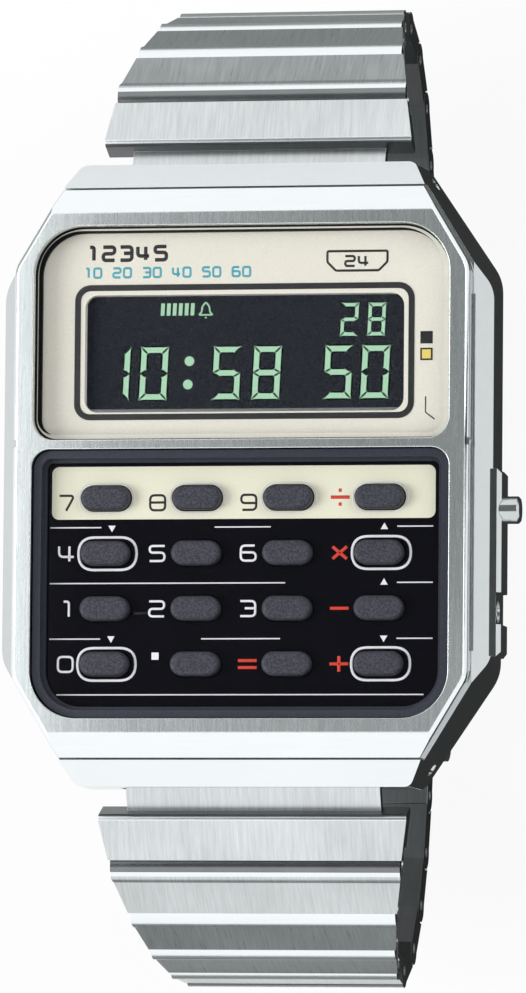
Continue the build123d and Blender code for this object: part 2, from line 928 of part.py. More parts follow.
def clasp_center():
    """Height of the centre that the clasp's arcs share."""
    y, z = link_starts()[-1]
    return z + sqrt(clasp_radius**2 - y**2)


def arc_point(radius, y):
    """Point of a clasp arc at one place along the watch."""
    return (y, clasp_center() - sqrt(radius**2 - y**2))


def arc_plate(inner, outer, start, stop, width):
    """Curved plate between two radii and two places along the watch, inner face up."""
    middle = (start + stop) / 2
    lower = arc_point(outer, middle)
    upper = arc_point(inner, middle)
    edge = ThreePointArc(arc_point(outer, start), lower, arc_point(outer, stop))
    edge += Line(arc_point(outer, stop), arc_point(inner, stop))
    edge += ThreePointArc(arc_point(inner, stop), upper, arc_point(inner, start))
    edge += Line(arc_point(inner, start), arc_point(outer, start))
    return across(make_face(edge), width)


def clasp_sizes():
    """Hinge place along the watch, and the radii and half widths of the clasp's layers."""
    hinge_y = link_starts()[-1][0]
    leaf_outer = clasp_radius - leaf_gap
    ear_inner = last_link_width / 2 + ear_gap
    ear_outer = ear_inner + ear_thickness
    wall_inner = ear_outer + cover_wall_gap
    return hinge_y, leaf_outer, ear_inner, ear_outer, wall_inner


def clasp_leaf():
    """Inner leaf: hinged to the last upper link at one end, to the cover at the other."""
    hinge_y, leaf_outer, ear_inner, ear_outer, wall_inner = clasp_sizes()
    leaf_inner = leaf_outer - leaf_thickness
    y, z = link_starts()[-1]
    end = hinge_y - link_roll_radius / 4
    leaf = arc_plate(leaf_inner, leaf_outer, -end, end, last_link_width)
    leaf += arc_plate(leaf_inner, clasp_radius, hinge_y - 2 * link_roll_radius, end, last_link_width)
    leaf += rod(link_roll_radius, last_link_width, y, z)
    knuckle = last_link_width * knuckle_width_share + 2 * moving_gap
    leaf -= rod(knuckle_radius + moving_gap, knuckle, y, z)
    reach = link_roll_radius + cut_over
    leaf -= block((-knuckle / 2, y - knuckle_web_top, z - reach), (knuckle / 2, y + reach, z + reach))
    leaf -= rod(pin_radius + running_gap / 4, last_link_width + cut_over, y, z)
    for side in (-1, 1):
        ear_x = side * (ear_inner + ear_outer) / 2
        ear = rod(ear_radius, ear_thickness, -y, z, ear_x)
        low = (ear_x - ear_thickness / 2, -y, z)
        ear += block(low, (ear_x + ear_thickness / 2, -y + ear_radius, z + leaf_gap + leaf_thickness / 2))
        bridge = arc_plate(leaf_inner, leaf_outer, -end, -end + 2 * ear_radius, ear_thickness + ear_gap)
        leaf += ear + Pos(side * (ear_outer - (ear_thickness + ear_gap) / 2), 0) * bridge
    leaf -= rod(pin_radius + running_gap, 2 * wall_inner, -y, z)
    for side in (-1, 1):
        leaf -= Pos(side * last_link_width / 2, hinge_y / 2, leaf_middle_z()) * Box(
            leaf_catch_notch * 2, leaf_catch_notch * 4, leaf_thickness * 4
        )
    return Compound(children=[leaf, rod(pin_radius, last_link_width - 2 * pin_end_recess, y, z)])


def leaf_middle_z():
    """Height of the leaf's middle layer where its catch notches are."""
    hinge_y, leaf_outer, ear_inner, ear_outer, wall_inner = clasp_sizes()
    return arc_point(leaf_outer - leaf_thickness / 2, hinge_y / 2)[1]


def clasp_cover():
    """Outer cover: a curved channel with two ribs, catches, lock ears and its own hinge pin."""
    hinge_y, leaf_outer, ear_inner, ear_outer, wall_inner = clasp_sizes()
    y, z = link_starts()[-1]
    inner = clasp_radius + cover_lift
    outer = inner + cover_wall
    width = 2 * (wall_inner + cover_wall)
    start = -hinge_y + cover_start
    stop = hinge_y - cover_stop
    cover = arc_plate(leaf_outer - leaf_thickness, outer, start, stop, width)
    cover -= arc_plate(
        leaf_outer - leaf_thickness - cut_over, inner, start - cut_over, stop + cut_over, 2 * wall_inner
    )
    for side in (-1, 1):
        wall_x = side * (wall_inner + cover_wall / 2)
        cheek = rod(cover_lift + cover_wall, cover_wall, -y, z, wall_x)
        cheek += Pos(wall_x, 0) * arc_plate(
            leaf_outer, outer, -hinge_y, start + cover_wall, cover_wall
        )
        cover += cheek
        catch_x = side * (wall_inner - cover_wall_gap - leaf_catch_notch / 4)
        cover += rod(leaf_catch_notch / 2, leaf_catch_notch * 2, hinge_y / 2, leaf_middle_z(), catch_x)
        cover += Pos(side * last_link_width / 3, 0) * arc_plate(
            outer - cover_wall / 2,
            outer + cover_rib_height,
            start + lock_start + lock_length,
            stop - cover_rib_width,
            cover_rib_width,
        )
        ear_x = side * (wall_inner + cover_wall - lock_ear_width / 2)
        lock_y, lock_z = lock_hinge()
        ear = rod(lock_knuckle_radius, lock_ear_width, lock_y, lock_z, ear_x)
        ear += block(
            (ear_x - lock_ear_width / 2, lock_y - lock_knuckle_radius, lock_z),
            (ear_x + lock_ear_width / 2, lock_y + lock_knuckle_radius, lock_z + lock_knuckle_radius * 2),
        )
        cover += ear
    cover -= rod(lock_pin_radius + running_gap / 4, width, *lock_hinge())
    cover -= rod(pin_radius + running_gap / 4, width + cut_over, -y, z)
    pin = rod(pin_radius, width - 2 * pin_end_recess, -y, z)
    return Compound(children=[cover, pin])


def lock_hinge():
    """Centre (y, z) of the lock flap's hinge."""
    hinge_y = link_starts()[-1][0]
    radius = clasp_radius + cover_lift + cover_wall + lock_knuckle_radius + fixed_gap
    return arc_point(radius, -hinge_y + cover_start + lock_knuckle_radius * 2)


def clasp_lock():
    """Lock flap on the cover's outer face, on its own pin."""
    hinge_y, leaf_outer, ear_inner, ear_outer, wall_inner = clasp_sizes()
    lock_y, lock_z = lock_hinge()
    width = 2 * (wall_inner + cover_wall)
    inner = clasp_radius + cover_lift + cover_wall + lock_lift
    outer = inner + lock_thickness
    start = lock_y + lock_knuckle_radius + 2 * moving_gap
    flap = arc_plate(inner, outer, start, start + lock_length, width)
    stop = start + lock_length + lock_tab
    flap += arc_plate(inner, outer - lock_thickness / 2, start, stop, lock_ear_width * 2)
    neck_width = width - 2 * lock_ear_width - 2 * moving_gap
    flap += arc_plate(inner, outer, lock_y, start + lock_tab, neck_width)
    flap += rod(lock_knuckle_radius, neck_width, lock_y, lock_z)
    flap -= rod(lock_pin_radius + running_gap, width, lock_y, lock_z)
    return flap


def lock_pin():
    """Pin of the lock flap, held in the cover's ears."""
    hinge_y, leaf_outer, ear_inner, ear_outer, wall_inner = clasp_sizes()
    return rod(lock_pin_radius, 2 * (wall_inner + cover_wall - pin_end_recess), *lock_hinge())


def clamped_links():
    """Bracelet tail held flat inside the cover, on its arc."""
    hinge_y = link_starts()[-1][0]
    turn = degrees(2 * asin(link_pitch / 2 / clasp_radius))
    angle = degrees(asin(hinge_y / clasp_radius))
    solids = []
    for index in range(clamped_count):
        here = angle - index * turn
        y = clasp_radius * sin(radians(here))
        z = clasp_center() - clasp_radius * cos(radians(here))
        slope = 180 - here + turn / 2
        link = hinge_link(last_link_width, last_link_width, index < clamped_count - 1)
        if index == 0:
            link = link[:1]
        solids += [mirror(solid, about=Plane.XZ) for solid in place_link(link, (y, z), slope)]
    return Compound(children=solids)


def all_nodes():
    """Every sub-part by its name."""
    nodes = {
        "case_body": case_body(),
        "bezel": bezel(),
        "display_crystal": display_crystal(),
        "crystal_gasket": crystal_gasket(),
        "dial_plate": dial_plate(),
        "lcd_panel": lcd_panel(),
        "keypad_plate": keypad_plate(),
        "key_mat": key_mat(),
        "circuit_board": circuit_board(),
        "module_frame": module_frame(),
        "battery_cell": battery_cell(),
        "battery_clip": battery_clip(),
        "elastomer_strips": elastomer_strips(),
        "case_back": case_back(),
        "back_gasket": back_gasket(),
        "back_screws": back_screws(),
        "spring_bars": spring_bars(),
        "mode_pusher": pusher(*pusher_places()[0]),
        "adjust_pusher": pusher(*pusher_places()[1]),
        "pusher_springs": pusher_springs(),
        "clasp_leaf": clasp_leaf(),
        "clasp_cover": Compound(children=list(clasp_cover().solids()) + [lock_pin()]),
        "clamped_links": clamped_links(),
        "clasp_lock": clasp_lock(),
    }
    for name, x, y in key_places():
        nodes[f"key_{name}"] = key(x, y)
    nodes.update(bracelet())
    return nodes


os.makedirs("parts", exist_ok=True)
for node, shape in all_nodes().items():
    export_step(shape, f"parts/{node}.step")
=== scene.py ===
import json
import math

import bmesh
import bpy
from mathutils import Matrix, Vector


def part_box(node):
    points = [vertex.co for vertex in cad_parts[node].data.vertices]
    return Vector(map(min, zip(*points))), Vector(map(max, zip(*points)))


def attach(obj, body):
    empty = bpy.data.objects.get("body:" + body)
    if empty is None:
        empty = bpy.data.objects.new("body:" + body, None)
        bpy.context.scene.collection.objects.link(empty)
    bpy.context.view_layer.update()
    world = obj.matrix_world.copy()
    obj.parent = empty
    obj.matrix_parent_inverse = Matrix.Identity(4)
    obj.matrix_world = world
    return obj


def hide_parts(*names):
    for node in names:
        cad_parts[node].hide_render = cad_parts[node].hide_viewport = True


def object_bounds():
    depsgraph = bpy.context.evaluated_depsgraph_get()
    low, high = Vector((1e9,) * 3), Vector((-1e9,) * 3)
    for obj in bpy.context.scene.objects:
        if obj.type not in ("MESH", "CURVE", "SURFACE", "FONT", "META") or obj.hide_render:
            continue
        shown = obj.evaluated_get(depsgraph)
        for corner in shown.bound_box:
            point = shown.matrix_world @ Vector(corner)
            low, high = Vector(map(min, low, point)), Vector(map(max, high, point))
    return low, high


bl_info = {
    "name": "Calculator Watch",
    "version": (1, 0, 0),
    "blender": (4, 5, 0),
    "location": "View3D > Sidebar > Watch",
    "description": "Finishes a steel calculator watch: metal, dial print, display, keypad and bracelet",
    "category": "Object",
}

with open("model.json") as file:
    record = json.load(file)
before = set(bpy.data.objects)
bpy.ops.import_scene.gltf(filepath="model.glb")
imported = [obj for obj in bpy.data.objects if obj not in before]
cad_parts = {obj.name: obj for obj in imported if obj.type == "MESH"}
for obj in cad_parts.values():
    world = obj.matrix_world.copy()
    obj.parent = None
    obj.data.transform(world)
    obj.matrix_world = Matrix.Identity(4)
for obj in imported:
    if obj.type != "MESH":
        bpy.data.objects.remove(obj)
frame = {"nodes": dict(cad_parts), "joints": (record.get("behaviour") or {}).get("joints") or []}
frame_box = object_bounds()

MM = 0.001
CASE = "case"
WHITE = (1, 1, 1, 1)
COLOUR = {"subtype": "COLOR", "size": 4}

# Photograph's frame and the place of the dial's centre in it, in pixels
PHOTO_WIDTH = 526
PHOTO_HEIGHT = 993
DIAL_PIXEL_X = 238.7
DIAL_PIXEL_Y = 471.4
PIXELS_PER_MM = 14.54
VIEW_TURN = math.radians(10.5)
VIEW_TILT = math.radians(4.5)
VIEW_ROLL = math.radians(0.5)
CAMERA_DISTANCE = 570
SENSOR = 36.0
WORLD_LIGHT = 0.6
FLOOR_GLOW = 0.88
FLOOR_SIZE = 6.0
SPOT_CORE = math.radians(7)
SPOT_EDGE = math.radians(15)
SPOT_COLOUR = (0.03, 0.03, 0.035, 1)

# Levels in millimetres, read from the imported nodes
DIAL_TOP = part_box("dial_plate")[1].z / MM
GLASS_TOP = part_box("lcd_panel")[1].z / MM
PRINT_STEP = 0.02
KEY_NAMES = [
    ["seven", "eight", "nine", "divide"],
    ["four", "five", "six", "multiply"],
    ["one", "two", "three", "minus"],
    ["zero", "point", "equals", "plus"],
]

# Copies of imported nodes: points to merge, turns that count as flat, slight or sharp, and wide faces
MERGE_DISTANCE = 0.0005 * MM
FLAT_TURN = math.radians(0.5)
SLIGHT_TURN = math.radians(4)
SHARP_TURN = math.radians(32)
SMOOTH_TURN = math.radians(40)
WIDE_FACE = 0.3 * MM
CORNER_STEPS = 8
END_SHARE = 0.999
CUTTER_HEIGHT = 2 * MM

# Grain of the finishes
FLOAT = "NodeSocketFloat"
RELIEF_DEPTH = 0.02 * MM
CLOUD_SHARE = 0.35
LINE_SHARE = 0.65
MEAN_SHADE = 0.98


def paint(red, green, blue, alpha=1.0):
    """Linear colour of an 8 bit screen colour."""
    linear = []
    for value in (red, green, blue):
        value /= 255
        linear.append(value / 12.92 if value <= 0.04045 else ((value + 0.055) / 1.055) ** 2.4)
    return (*linear, alpha)


def key_center(name):
    """Centre of a key in millimetres."""
    low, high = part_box(f"key_{name}")
    return (low.x + high.x) / 2 / MM, (low.y + high.y) / 2 / MM


class WatchFinish(bpy.types.PropertyGroup):
    """Colours of the watch's finishes"""

    steel: bpy.props.FloatVectorProperty(
        name="Steel", description="Colour of the steel", default=(0.83, 0.87, 0.885, 1), **COLOUR
    )
    cream: bpy.props.FloatVectorProperty(
        name="Dial", description="Colour of the dial plate", default=paint(224, 221, 208), **COLOUR
    )
    strip: bpy.props.FloatVectorProperty(
        name="Key strip", description="Band behind the top keys", default=paint(226, 225, 203), **COLOUR
    )
    panel: bpy.props.FloatVectorProperty(
        name="Keypad", description="Colour of the keypad panel", default=paint(8, 8, 16), **COLOUR
    )
    lip: bpy.props.FloatVectorProperty(
        name="Keypad lip", description="Raised edge of the keypad", default=paint(54, 56, 67), **COLOUR
    )
    key: bpy.props.FloatVectorProperty(
        name="Keys", description="Colour of the keys", default=paint(58, 59, 68), **COLOUR
    )
    glass: bpy.props.FloatVectorProperty(
        name="Display", description="Colour of the display glass", default=paint(26, 30, 38), **COLOUR
    )
    segment: bpy.props.FloatVectorProperty(
        name="Segments", description="Colour of the lit segments", default=paint(160, 205, 172), **COLOUR
    )
    rim: bpy.props.FloatVectorProperty(
        name="Segment rims", description="Colour of the segments' rims", default=paint(38, 88, 66), **COLOUR
    )
    red: bpy.props.FloatVectorProperty(
        name="Red print", description="Colour of the operator signs", default=paint(209, 58, 40), **COLOUR
    )
    teal: bpy.props.FloatVectorProperty(
        name="Teal print", description="Colour of the small scale", default=paint(63, 163, 181), **COLOUR
    )
    ink: bpy.props.FloatVectorProperty(
        name="Dark print", description="Colour of the dark print", default=paint(22, 22, 26), **COLOUR
    )
    white: bpy.props.FloatVectorProperty(
        name="White print", description="Colour of the white print", default=paint(232, 232, 236), **COLOUR
    )
    yellow: bpy.props.FloatVectorProperty(
        name="Yellow mark", description="Colour of the small mark", default=paint(230, 207, 106), **COLOUR
    )


class WatchSizes(bpy.types.PropertyGroup):
    """Sizes of the rounded edges and of the print"""

    edge: bpy.props.FloatProperty(
        name="Edge round", description="Rounding of the metal edges", unit="LENGTH", default=0.09 * MM
    )
    stroke: bpy.props.FloatProperty(
        name="Print stroke", description="Half width of the printed strokes", unit="LENGTH",
        default=0.085 * MM,
    )
    digit_width: bpy.props.FloatProperty(
        name="Key digit width", description="Width of the keypad's digits", unit="LENGTH", default=1.05 * MM
    )
    digit_height: bpy.props.FloatProperty(
        name="Key digit height", description="Height of the keypad's digits", unit="LENGTH",
        default=1.04 * MM,
    )
    digit_reach: bpy.props.FloatProperty(
        name="Key digit reach", description="From a key's centre to its digit", unit="LENGTH",
        default=2.8 * MM,
    )


def finish():
    """The scene's colours."""
    return bpy.context.scene.watch_finish


def sizes():
    """The scene's sizes."""
    return bpy.context.scene.watch_sizes


# Shader nodes


def fill(tree, node, inputs):
    """Gives a node's inputs plain values, or links them to other nodes' outputs."""
    for key, value in inputs.items():
        if isinstance(value, bpy.types.NodeSocket):
            tree.links.new(value, node.inputs[key])
        else:
            node.inputs[key].default_value = value


def add_node(tree, kind, inputs, **settings):
    """New node with its settings and its inputs."""
    node = tree.nodes.new(kind)
    for name, value in settings.items():
        setattr(node, name, value)
    fill(tree, node, inputs)
    return node


def calc(tree, operation, *values):
    """Output of a math node."""
    return add_node(tree, "ShaderNodeMath", dict(enumerate(values)), operation=operation).outputs[0]


def noise(tree, vector, scale, detail, roughness):
    """Output of a noise texture."""
    inputs = {"Vector": vector, "Scale": scale, "Detail": detail, "Roughness": roughness}
    return add_node(tree, "ShaderNodeTexNoise", inputs).outputs["Fac"]


def relief(tree, height, strength):
    """Normal output of fine bumps."""
    inputs = {"Strength": strength, "Distance": RELIEF_DEPTH, "Height": height}
    return add_node(tree, "ShaderNodeBump", inputs).outputs["Normal"]


def blend(tree, share, first, second, output):
    """Mixes two shaders by a share, for the surface."""
    mix = add_node(tree, "ShaderNodeMixShader", {"Fac": share, 1: first, 2: second})
    fill(tree, tree.nodes[output], {"Surface": mix.outputs["Shader"]})


def seen_by_eye(tree):
    """One where the camera, a reflection or a view through glass meets a surface."""
    path = add_node(tree, "ShaderNodeLightPath", {}).outputs
    camera_or_shine = calc(tree, "MAXIMUM", path["Is Camera Ray"], path["Is Glossy Ray"])
    return calc(tree, "MAXIMUM", camera_or_shine, path["Is Transmission Ray"])


def new_group(name, inputs, outputs):
    """Node group with named sockets, and its input and output nodes."""
    group = bpy.data.node_groups.new(name, "ShaderNodeTree")
    for label, kind, value in inputs:
        socket = group.interface.new_socket(label, in_out="INPUT", socket_type=kind)
        socket.default_value = value
    for label, kind in outputs:
        group.interface.new_socket(label, in_out="OUTPUT", socket_type=kind)
    return group, group.nodes.new("NodeGroupInput"), group.nodes.new("NodeGroupOutput")


def grain_group():
    """Stretched noise for brushed metal: fine lines along one direction, and slow cloudy patches."""
    name = "brushed grain"
    if name in bpy.data.node_groups:
        return bpy.data.node_groups[name]
    group, start, end = new_group(
        name,
        [
            ("Stretch", "NodeSocketVector", (1, 1, 1)),
            ("Roughness", FLOAT, 0.3),
            ("Spread", FLOAT, 0.1),
            ("Contrast", FLOAT, 0.3),
        ],
        [("Roughness", FLOAT), ("Height", FLOAT), ("Shade", FLOAT)],
    )
    place = add_node(group, "ShaderNodeTexCoord", {}).outputs["Object"]
    inputs = {0: place, 1: start.outputs["Stretch"]}
    stretched = add_node(group, "ShaderNodeVectorMath", inputs, operation="MULTIPLY").outputs[0]
    lines = noise(group, stretched, 1.0, 5.0, 0.65)
    cloud = noise(group, place, 140.0, 2.0, 0.5)
    centred = calc(group, "SUBTRACT", lines, 0.5)
    rough = calc(group, "MULTIPLY_ADD", centred, start.outputs["Spread"], start.outputs["Roughness"])
    mixed = calc(group, "MULTIPLY_ADD", cloud, CLOUD_SHARE, calc(group, "MULTIPLY", lines, LINE_SHARE))
    offset = calc(group, "SUBTRACT", mixed, 0.5)
    shade = calc(group, "MULTIPLY_ADD", offset, start.outputs["Contrast"], MEAN_SHADE)
    fill(group, end, {"Roughness": rough, "Height": lines, "Shade": shade})
    return group


def speckle_group():
    """Fine moulded grain of resin: bright specks on the colour and small bumps."""
    name = "moulded speckle"
    if name in bpy.data.node_groups:
        return bpy.data.node_groups[name]
    group, start, end = new_group(
        name,
        [
            ("Colour", "NodeSocketColor", (0.1, 0.1, 0.1, 1)),
            ("Scale", FLOAT, 9000.0),
            ("Amount", FLOAT, 0.5),
        ],
        [("Colour", "NodeSocketColor"), ("Height", FLOAT)],
    )
    place = add_node(group, "ShaderNodeTexCoord", {}).outputs["Object"]
    specks = noise(group, place, start.outputs["Scale"], 3.0, 0.7)
    inputs = {"Value": specks, "From Min": 0.42, "From Max": 0.62, "To Min": 0.6, "To Max": 1.6}
    strength = add_node(group, "ShaderNodeMapRange", inputs).outputs["Result"]
    inputs = {0: start.outputs["Colour"], "Scale": strength}
    tone = add_node(group, "ShaderNodeVectorMath", inputs, operation="SCALE").outputs[0]
    inputs = {"Factor": start.outputs["Amount"], "A": start.outputs["Colour"], "B": tone}
    mix = add_node(group, "ShaderNodeMix", inputs, data_type="RGBA")
    fill(group, end, {"Colour": mix.outputs["Result"], "Height": specks})
    return group


# Materials


def blank_material(name):
    """New node material and its shader."""
    material = bpy.data.materials.new(name)
    material.use_nodes = True
    shader = material.node_tree.nodes["Principled BSDF"]
    return material, shader


def steel(name, stretch, roughness, spread, bump, shade=1.0, contrast=0.15):
    """Steel with brush lines; the stretch gives how fast the lines change along X, Y and Z. The shade
    scales the colour: below one it is painted shade, above one a painted highlight.
    """
    if name in bpy.data.materials:
        return bpy.data.materials[name]
    material, shader = blank_material(name)
    tree = material.node_tree
    inputs = {"Stretch": stretch, "Roughness": roughness, "Spread": spread, "Contrast": contrast}
    grain = add_node(tree, "ShaderNodeGroup", inputs, node_tree=grain_group()).outputs
    colour = [value * shade for value in finish().steel[:3]]
    tone = add_node(tree, "ShaderNodeVectorMath", {0: colour, "Scale": grain["Shade"]}, operation="SCALE")
    inputs = {
        "Base Color": tone.outputs[0],
        "Metallic": 1.0,
        "Roughness": grain["Roughness"],
        "Normal": relief(tree, grain["Height"], bump),
    }
    fill(tree, shader, inputs)
    return material


def resin(name, colour, roughness, amount=0.5, bump=0.1, scale=9000.0, gloss=0.5):
    """Moulded or printed resin with fine speckle."""
    if name in bpy.data.materials:
        return bpy.data.materials[name]
    material, shader = blank_material(name)
    tree = material.node_tree
    inputs = {"Colour": colour, "Scale": scale, "Amount": amount}
    speckle = add_node(tree, "ShaderNodeGroup", inputs, node_tree=speckle_group()).outputs
    inputs = {
        "Base Color": speckle["Colour"],
        "Roughness": roughness,
        "Specular IOR Level": gloss,
        "Normal": relief(tree, speckle["Height"], bump),
    }
    fill(tree, shader, inputs)
    return material


def clear_glass(name):
    """Clear mineral glass that lets light through without bending shadows."""
    material, shader = blank_material(name)
    tree = material.node_tree
    fill(tree, shader, {"Base Color": WHITE, "Roughness": 0.02, "Transmission Weight": 1.0, "IOR": 1.3})
    see_through = add_node(tree, "ShaderNodeBsdfTransparent", {}).outputs["BSDF"]
    path = add_node(tree, "ShaderNodeLightPath", {}).outputs
    lets_by = calc(tree, "MAXIMUM", path["Is Shadow Ray"], path["Is Diffuse Ray"])
    blend(tree, lets_by, shader.outputs["BSDF"], see_through, "Material Output")
    return material


def white_print():
    return resin("white print", finish().white, 0.4, 0.1)


def dark_print():
    return resin("dark print", finish().ink, 0.4, 0.2)


def lit_segment():
    return resin("lit segment", finish().segment, 0.45, 0.05, 0.0)


def black_rubber():
    return resin("black rubber", paint(14, 14, 16), 0.6)


def link_steel():
    return steel("brushed link steel", (6500, 330, 330), 0.3, 0.16, 0.35, 0.82, 0.9)


def polished_steel():
    return steel("polished case steel", (900, 900, 900), 0.13, 0.05, 0.05, 0.78)


def bezel_steel():
    return steel("satin bezel steel", (7000, 300, 300), 0.27, 0.08, 0.1, 1.0, 0.3)


# Painted shade: a very dark copy of the steel, for the links' inner faces and near end faces
def painted_shade_steel():
    return steel("inner link steel with painted shade", (4000, 300, 300), 0.35, 0.12, 0.2, 0.2, 0.6)


# A finer brushed finish, brightened as a painted highlight, for end facets and the links' rolled edges
def painted_highlight_steel():
    return steel("fine brushed steel with painted highlight", (200, 14000, 14000), 0.24, 0.1, 0.15, 1.12)


# Painted dark reflection: a dark copy of the polished steel, for the links' sides and rolls and the guard's
# top
def painted_dark_steel():
    return steel("polished steel with painted dark reflection", (500, 500, 500), 0.22, 0.08, 0.1, 0.3, 0.5)


# Mesh helpers


def deselect():
    """Leaves edit mode and selects nothing."""
    if bpy.context.mode != "OBJECT":
        bpy.ops.object.mode_set(mode="OBJECT")
    bpy.ops.object.select_all(action="DESELECT")


def activate(piece):
    deselect()
    piece.select_set(True)
    bpy.context.view_layer.objects.active = piece


def settle(piece, material, body, slot_name, *nodes):
    """Places the piece's transform in its mesh, and gives it its finish and its body."""
    activate(piece)
    bpy.ops.object.transform_apply(location=True, rotation=True, scale=True)
    piece.data.materials.clear()
    piece.data.materials.append(material)
    if nodes:
        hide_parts(*nodes)
    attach(piece, body)
    return piece


def crease_weights(piece):
    """Marks the edges to round: sharp ones, and slight ones between two wide flat faces."""
    shape = bmesh.new()
    shape.from_mesh(piece.data)
    weights = shape.edges.layers.float.new("bevel_weight_edge")
    for edge in shape.edges:
        if len(edge.link_faces) != 2:
            continue
        turn = edge.calc_face_angle(0)
        widths = []
        for face in edge.link_faces:
            widths.append(2 * face.calc_area() / sum(side.calc_length() for side in face.edges))
        if turn > SHARP_TURN or (turn > SLIGHT_TURN and min(widths) > WIDE_FACE):
            edge[weights] = 1.0
    shape.to_mesh(piece.data)
    shape.free()


def refined(node, edge, segments=2):
    """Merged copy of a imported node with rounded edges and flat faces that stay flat."""
    source = frame["nodes"][node]
    piece = bpy.data.objects.new(f"{node}_finished", source.data.copy())
    bpy.context.scene.collection.objects.link(piece)
    activate(piece)
    bpy.ops.object.mode_set(mode="EDIT")
    bpy.ops.mesh.select_all(action="SELECT")
    bpy.ops.mesh.remove_doubles(threshold=MERGE_DISTANCE)
    bpy.ops.mesh.dissolve_limited(angle_limit=FLAT_TURN)
    bpy.ops.object.mode_set(mode="OBJECT")
    crease_weights(piece)
    round_edges = piece.modifiers.new("round edges", "BEVEL")
    round_edges.width = edge
    round_edges.segments = segments
    round_edges.limit_method = "WEIGHT"
    round_edges.loop_slide = True
    bpy.ops.object.modifier_apply(modifier=round_edges.name)
    bpy.ops.object.shade_smooth_by_angle(angle=SMOOTH_TURN)
    even = piece.modifiers.new("even shading", "WEIGHTED_NORMAL")
    even.keep_sharp = True
    even.weight = 100
    bpy.ops.object.modifier_apply(modifier=even.name)
    return piece


def paint_node(node, material):
    """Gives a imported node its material."""
    node.data.materials.clear()
    node.data.materials.append(material)


def add_slots(piece, *materials):
    """Further materials of one piece, after its first."""
    for material in materials:
        piece.data.materials.append(material)


def paint_faces(piece, index, chosen):
    """Gives material number index to the faces that chosen(centre, normal) picks, in millimetres."""
    for face in piece.data.polygons:
        if chosen(face.center / MM, face.normal):
            face.material_index = index


def rounded(points, radius, closed=False, steps=5):
    """Path through the points with its corners rounded."""
    count = len(points)
    path = []
    for index, point in enumerate(points):
        corner = Vector(point)
        ends = not closed and index in (0, count - 1)
        if ends or radius <= 0:
            path.append(corner)
            continue
        before = Vector(points[index - 1]) - corner
        after = Vector(points[(index + 1) % count]) - corner
        reach = min(radius, before.length / 2, after.length / 2)
        first = corner + before.normalized() * reach
        last = corner + after.normalized() * reach
        for step in range(steps + 1):
            t = step / steps
            path.append(first * (1 - t) ** 2 + corner * 2 * t * (1 - t) + last * t**2)
    return path


def strokes(name, paths, half_width, level, material, slot_name):
    """Printed line work: each path is (points in mm, closed), drawn as a low flat ribbon at a level."""
    deselect()
    bpy.ops.curve.primitive_bezier_curve_add(location=(0, 0, 0))
    piece = bpy.context.object
    piece.name = name
    line = piece.data
    line.splines.clear()
    line.dimensions = "3D"
    line.bevel_depth = half_width
    line.bevel_resolution = 1
    line.use_fill_caps = True
    for points, closed in paths:
        spline = line.splines.new("POLY")
        spline.points.add(len(points) - 1)
        for target, point in zip(spline.points, points):
            target.co = (point[0] * MM, point[1] * MM, 0, 1)
        spline.use_cyclic_u = closed
    activate(piece)
    bpy.ops.object.convert(target="MESH")
    piece = bpy.context.object
    piece.scale = (1, 1, PRINT_STEP * MM / half_width)
    piece.location = (0, 0, level * MM)
    return settle(piece, material, CASE, slot_name)


def pill_path(width, height, center):
    """Closed pill outline about a centre, in millimetres."""
    x, y = center
    corners = [
        (x - width / 2, y - height / 2),
        (x + width / 2, y - height / 2),
        (x + width / 2, y + height / 2),
        (x - width / 2, y + height / 2),
    ]
    return rounded(corners, height / 2, closed=True, steps=CORNER_STEPS), True


def sheet(name, size, center, level):
    """Flat sheet about a centre, in millimetres, left in edit mode with all of it selected."""
    deselect()
    bpy.ops.mesh.primitive_plane_add(size=1, location=(center[0] * MM, center[1] * MM, level * MM))
    piece = bpy.context.object
    piece.name = name
    piece.scale = (size[0] * MM, size[1] * MM, 1)
    bpy.ops.object.transform_apply(location=True, rotation=True, scale=True)
    bpy.ops.object.mode_set(mode="EDIT")
    bpy.ops.mesh.select_all(action="SELECT")
    return piece


def thicken(height):
    """Raises the sheet in edit mode into a solid with its faces outwards, and leaves edit mode."""
    bpy.ops.mesh.select_all(action="SELECT")
    bpy.ops.mesh.extrude_region_move(TRANSFORM_OT_translate={"value": (0, 0, height * MM)})
    bpy.ops.mesh.select_all(action="SELECT")
    bpy.ops.mesh.normals_make_consistent(inside=False)
    bpy.ops.object.mode_set(mode="OBJECT")


def flat_plate(name, size, center, level, thickness, corner, material, slot_name):
    """Thin plate on the case, with rounded corners."""
    piece = sheet(name, size, center, level)
    if corner > 0:
        bpy.ops.mesh.bevel(offset=corner * MM, segments=CORNER_STEPS, affect="VERTICES")
    thicken(thickness)
    return settle(piece, material, CASE, slot_name)


def cut_with(piece, cutters):
    """Cuts other pieces out of one and deletes them."""
    for cutter in cutters:
        activate(piece)
        cut = piece.modifiers.new("cut", "BOOLEAN")
        cut.operation = "DIFFERENCE"
        cut.solver = "EXACT"
        cut.object = cutter
        bpy.ops.object.modifier_apply(modifier=cut.name)
        bpy.data.objects.remove(cutter)


def pill_cutter(center, size, level):
    """Tall pill about a level, used to cut a key's opening."""
    deselect()
    middle = (center[0] * MM, center[1] * MM, level * MM)
    bpy.ops.mesh.primitive_cube_add(size=1, location=middle)
    piece = bpy.context.object
    piece.scale = (size[0] * MM, size[1] * MM, CUTTER_HEIGHT)
    bpy.ops.object.transform_apply(location=True, rotation=True, scale=True)
    corners = piece.modifiers.new("ends", "BEVEL")
    corners.limit_method = "WEIGHT"
    corners.width = size[1] / 2 * MM * END_SHARE
    corners.segments = 10
    weights = piece.data.attributes.new("bevel_weight_edge", "FLOAT", "EDGE")
    for edge in piece.data.edges:
        a, b = (piece.data.vertices[index].co for index in edge.vertices)
        weights.data[edge.index].value = 1.0 if abs(a.z - b.z) > MM / 100 else 0.0
    bpy.ops.object.modifier_apply(modifier=corners.name)
    return piece


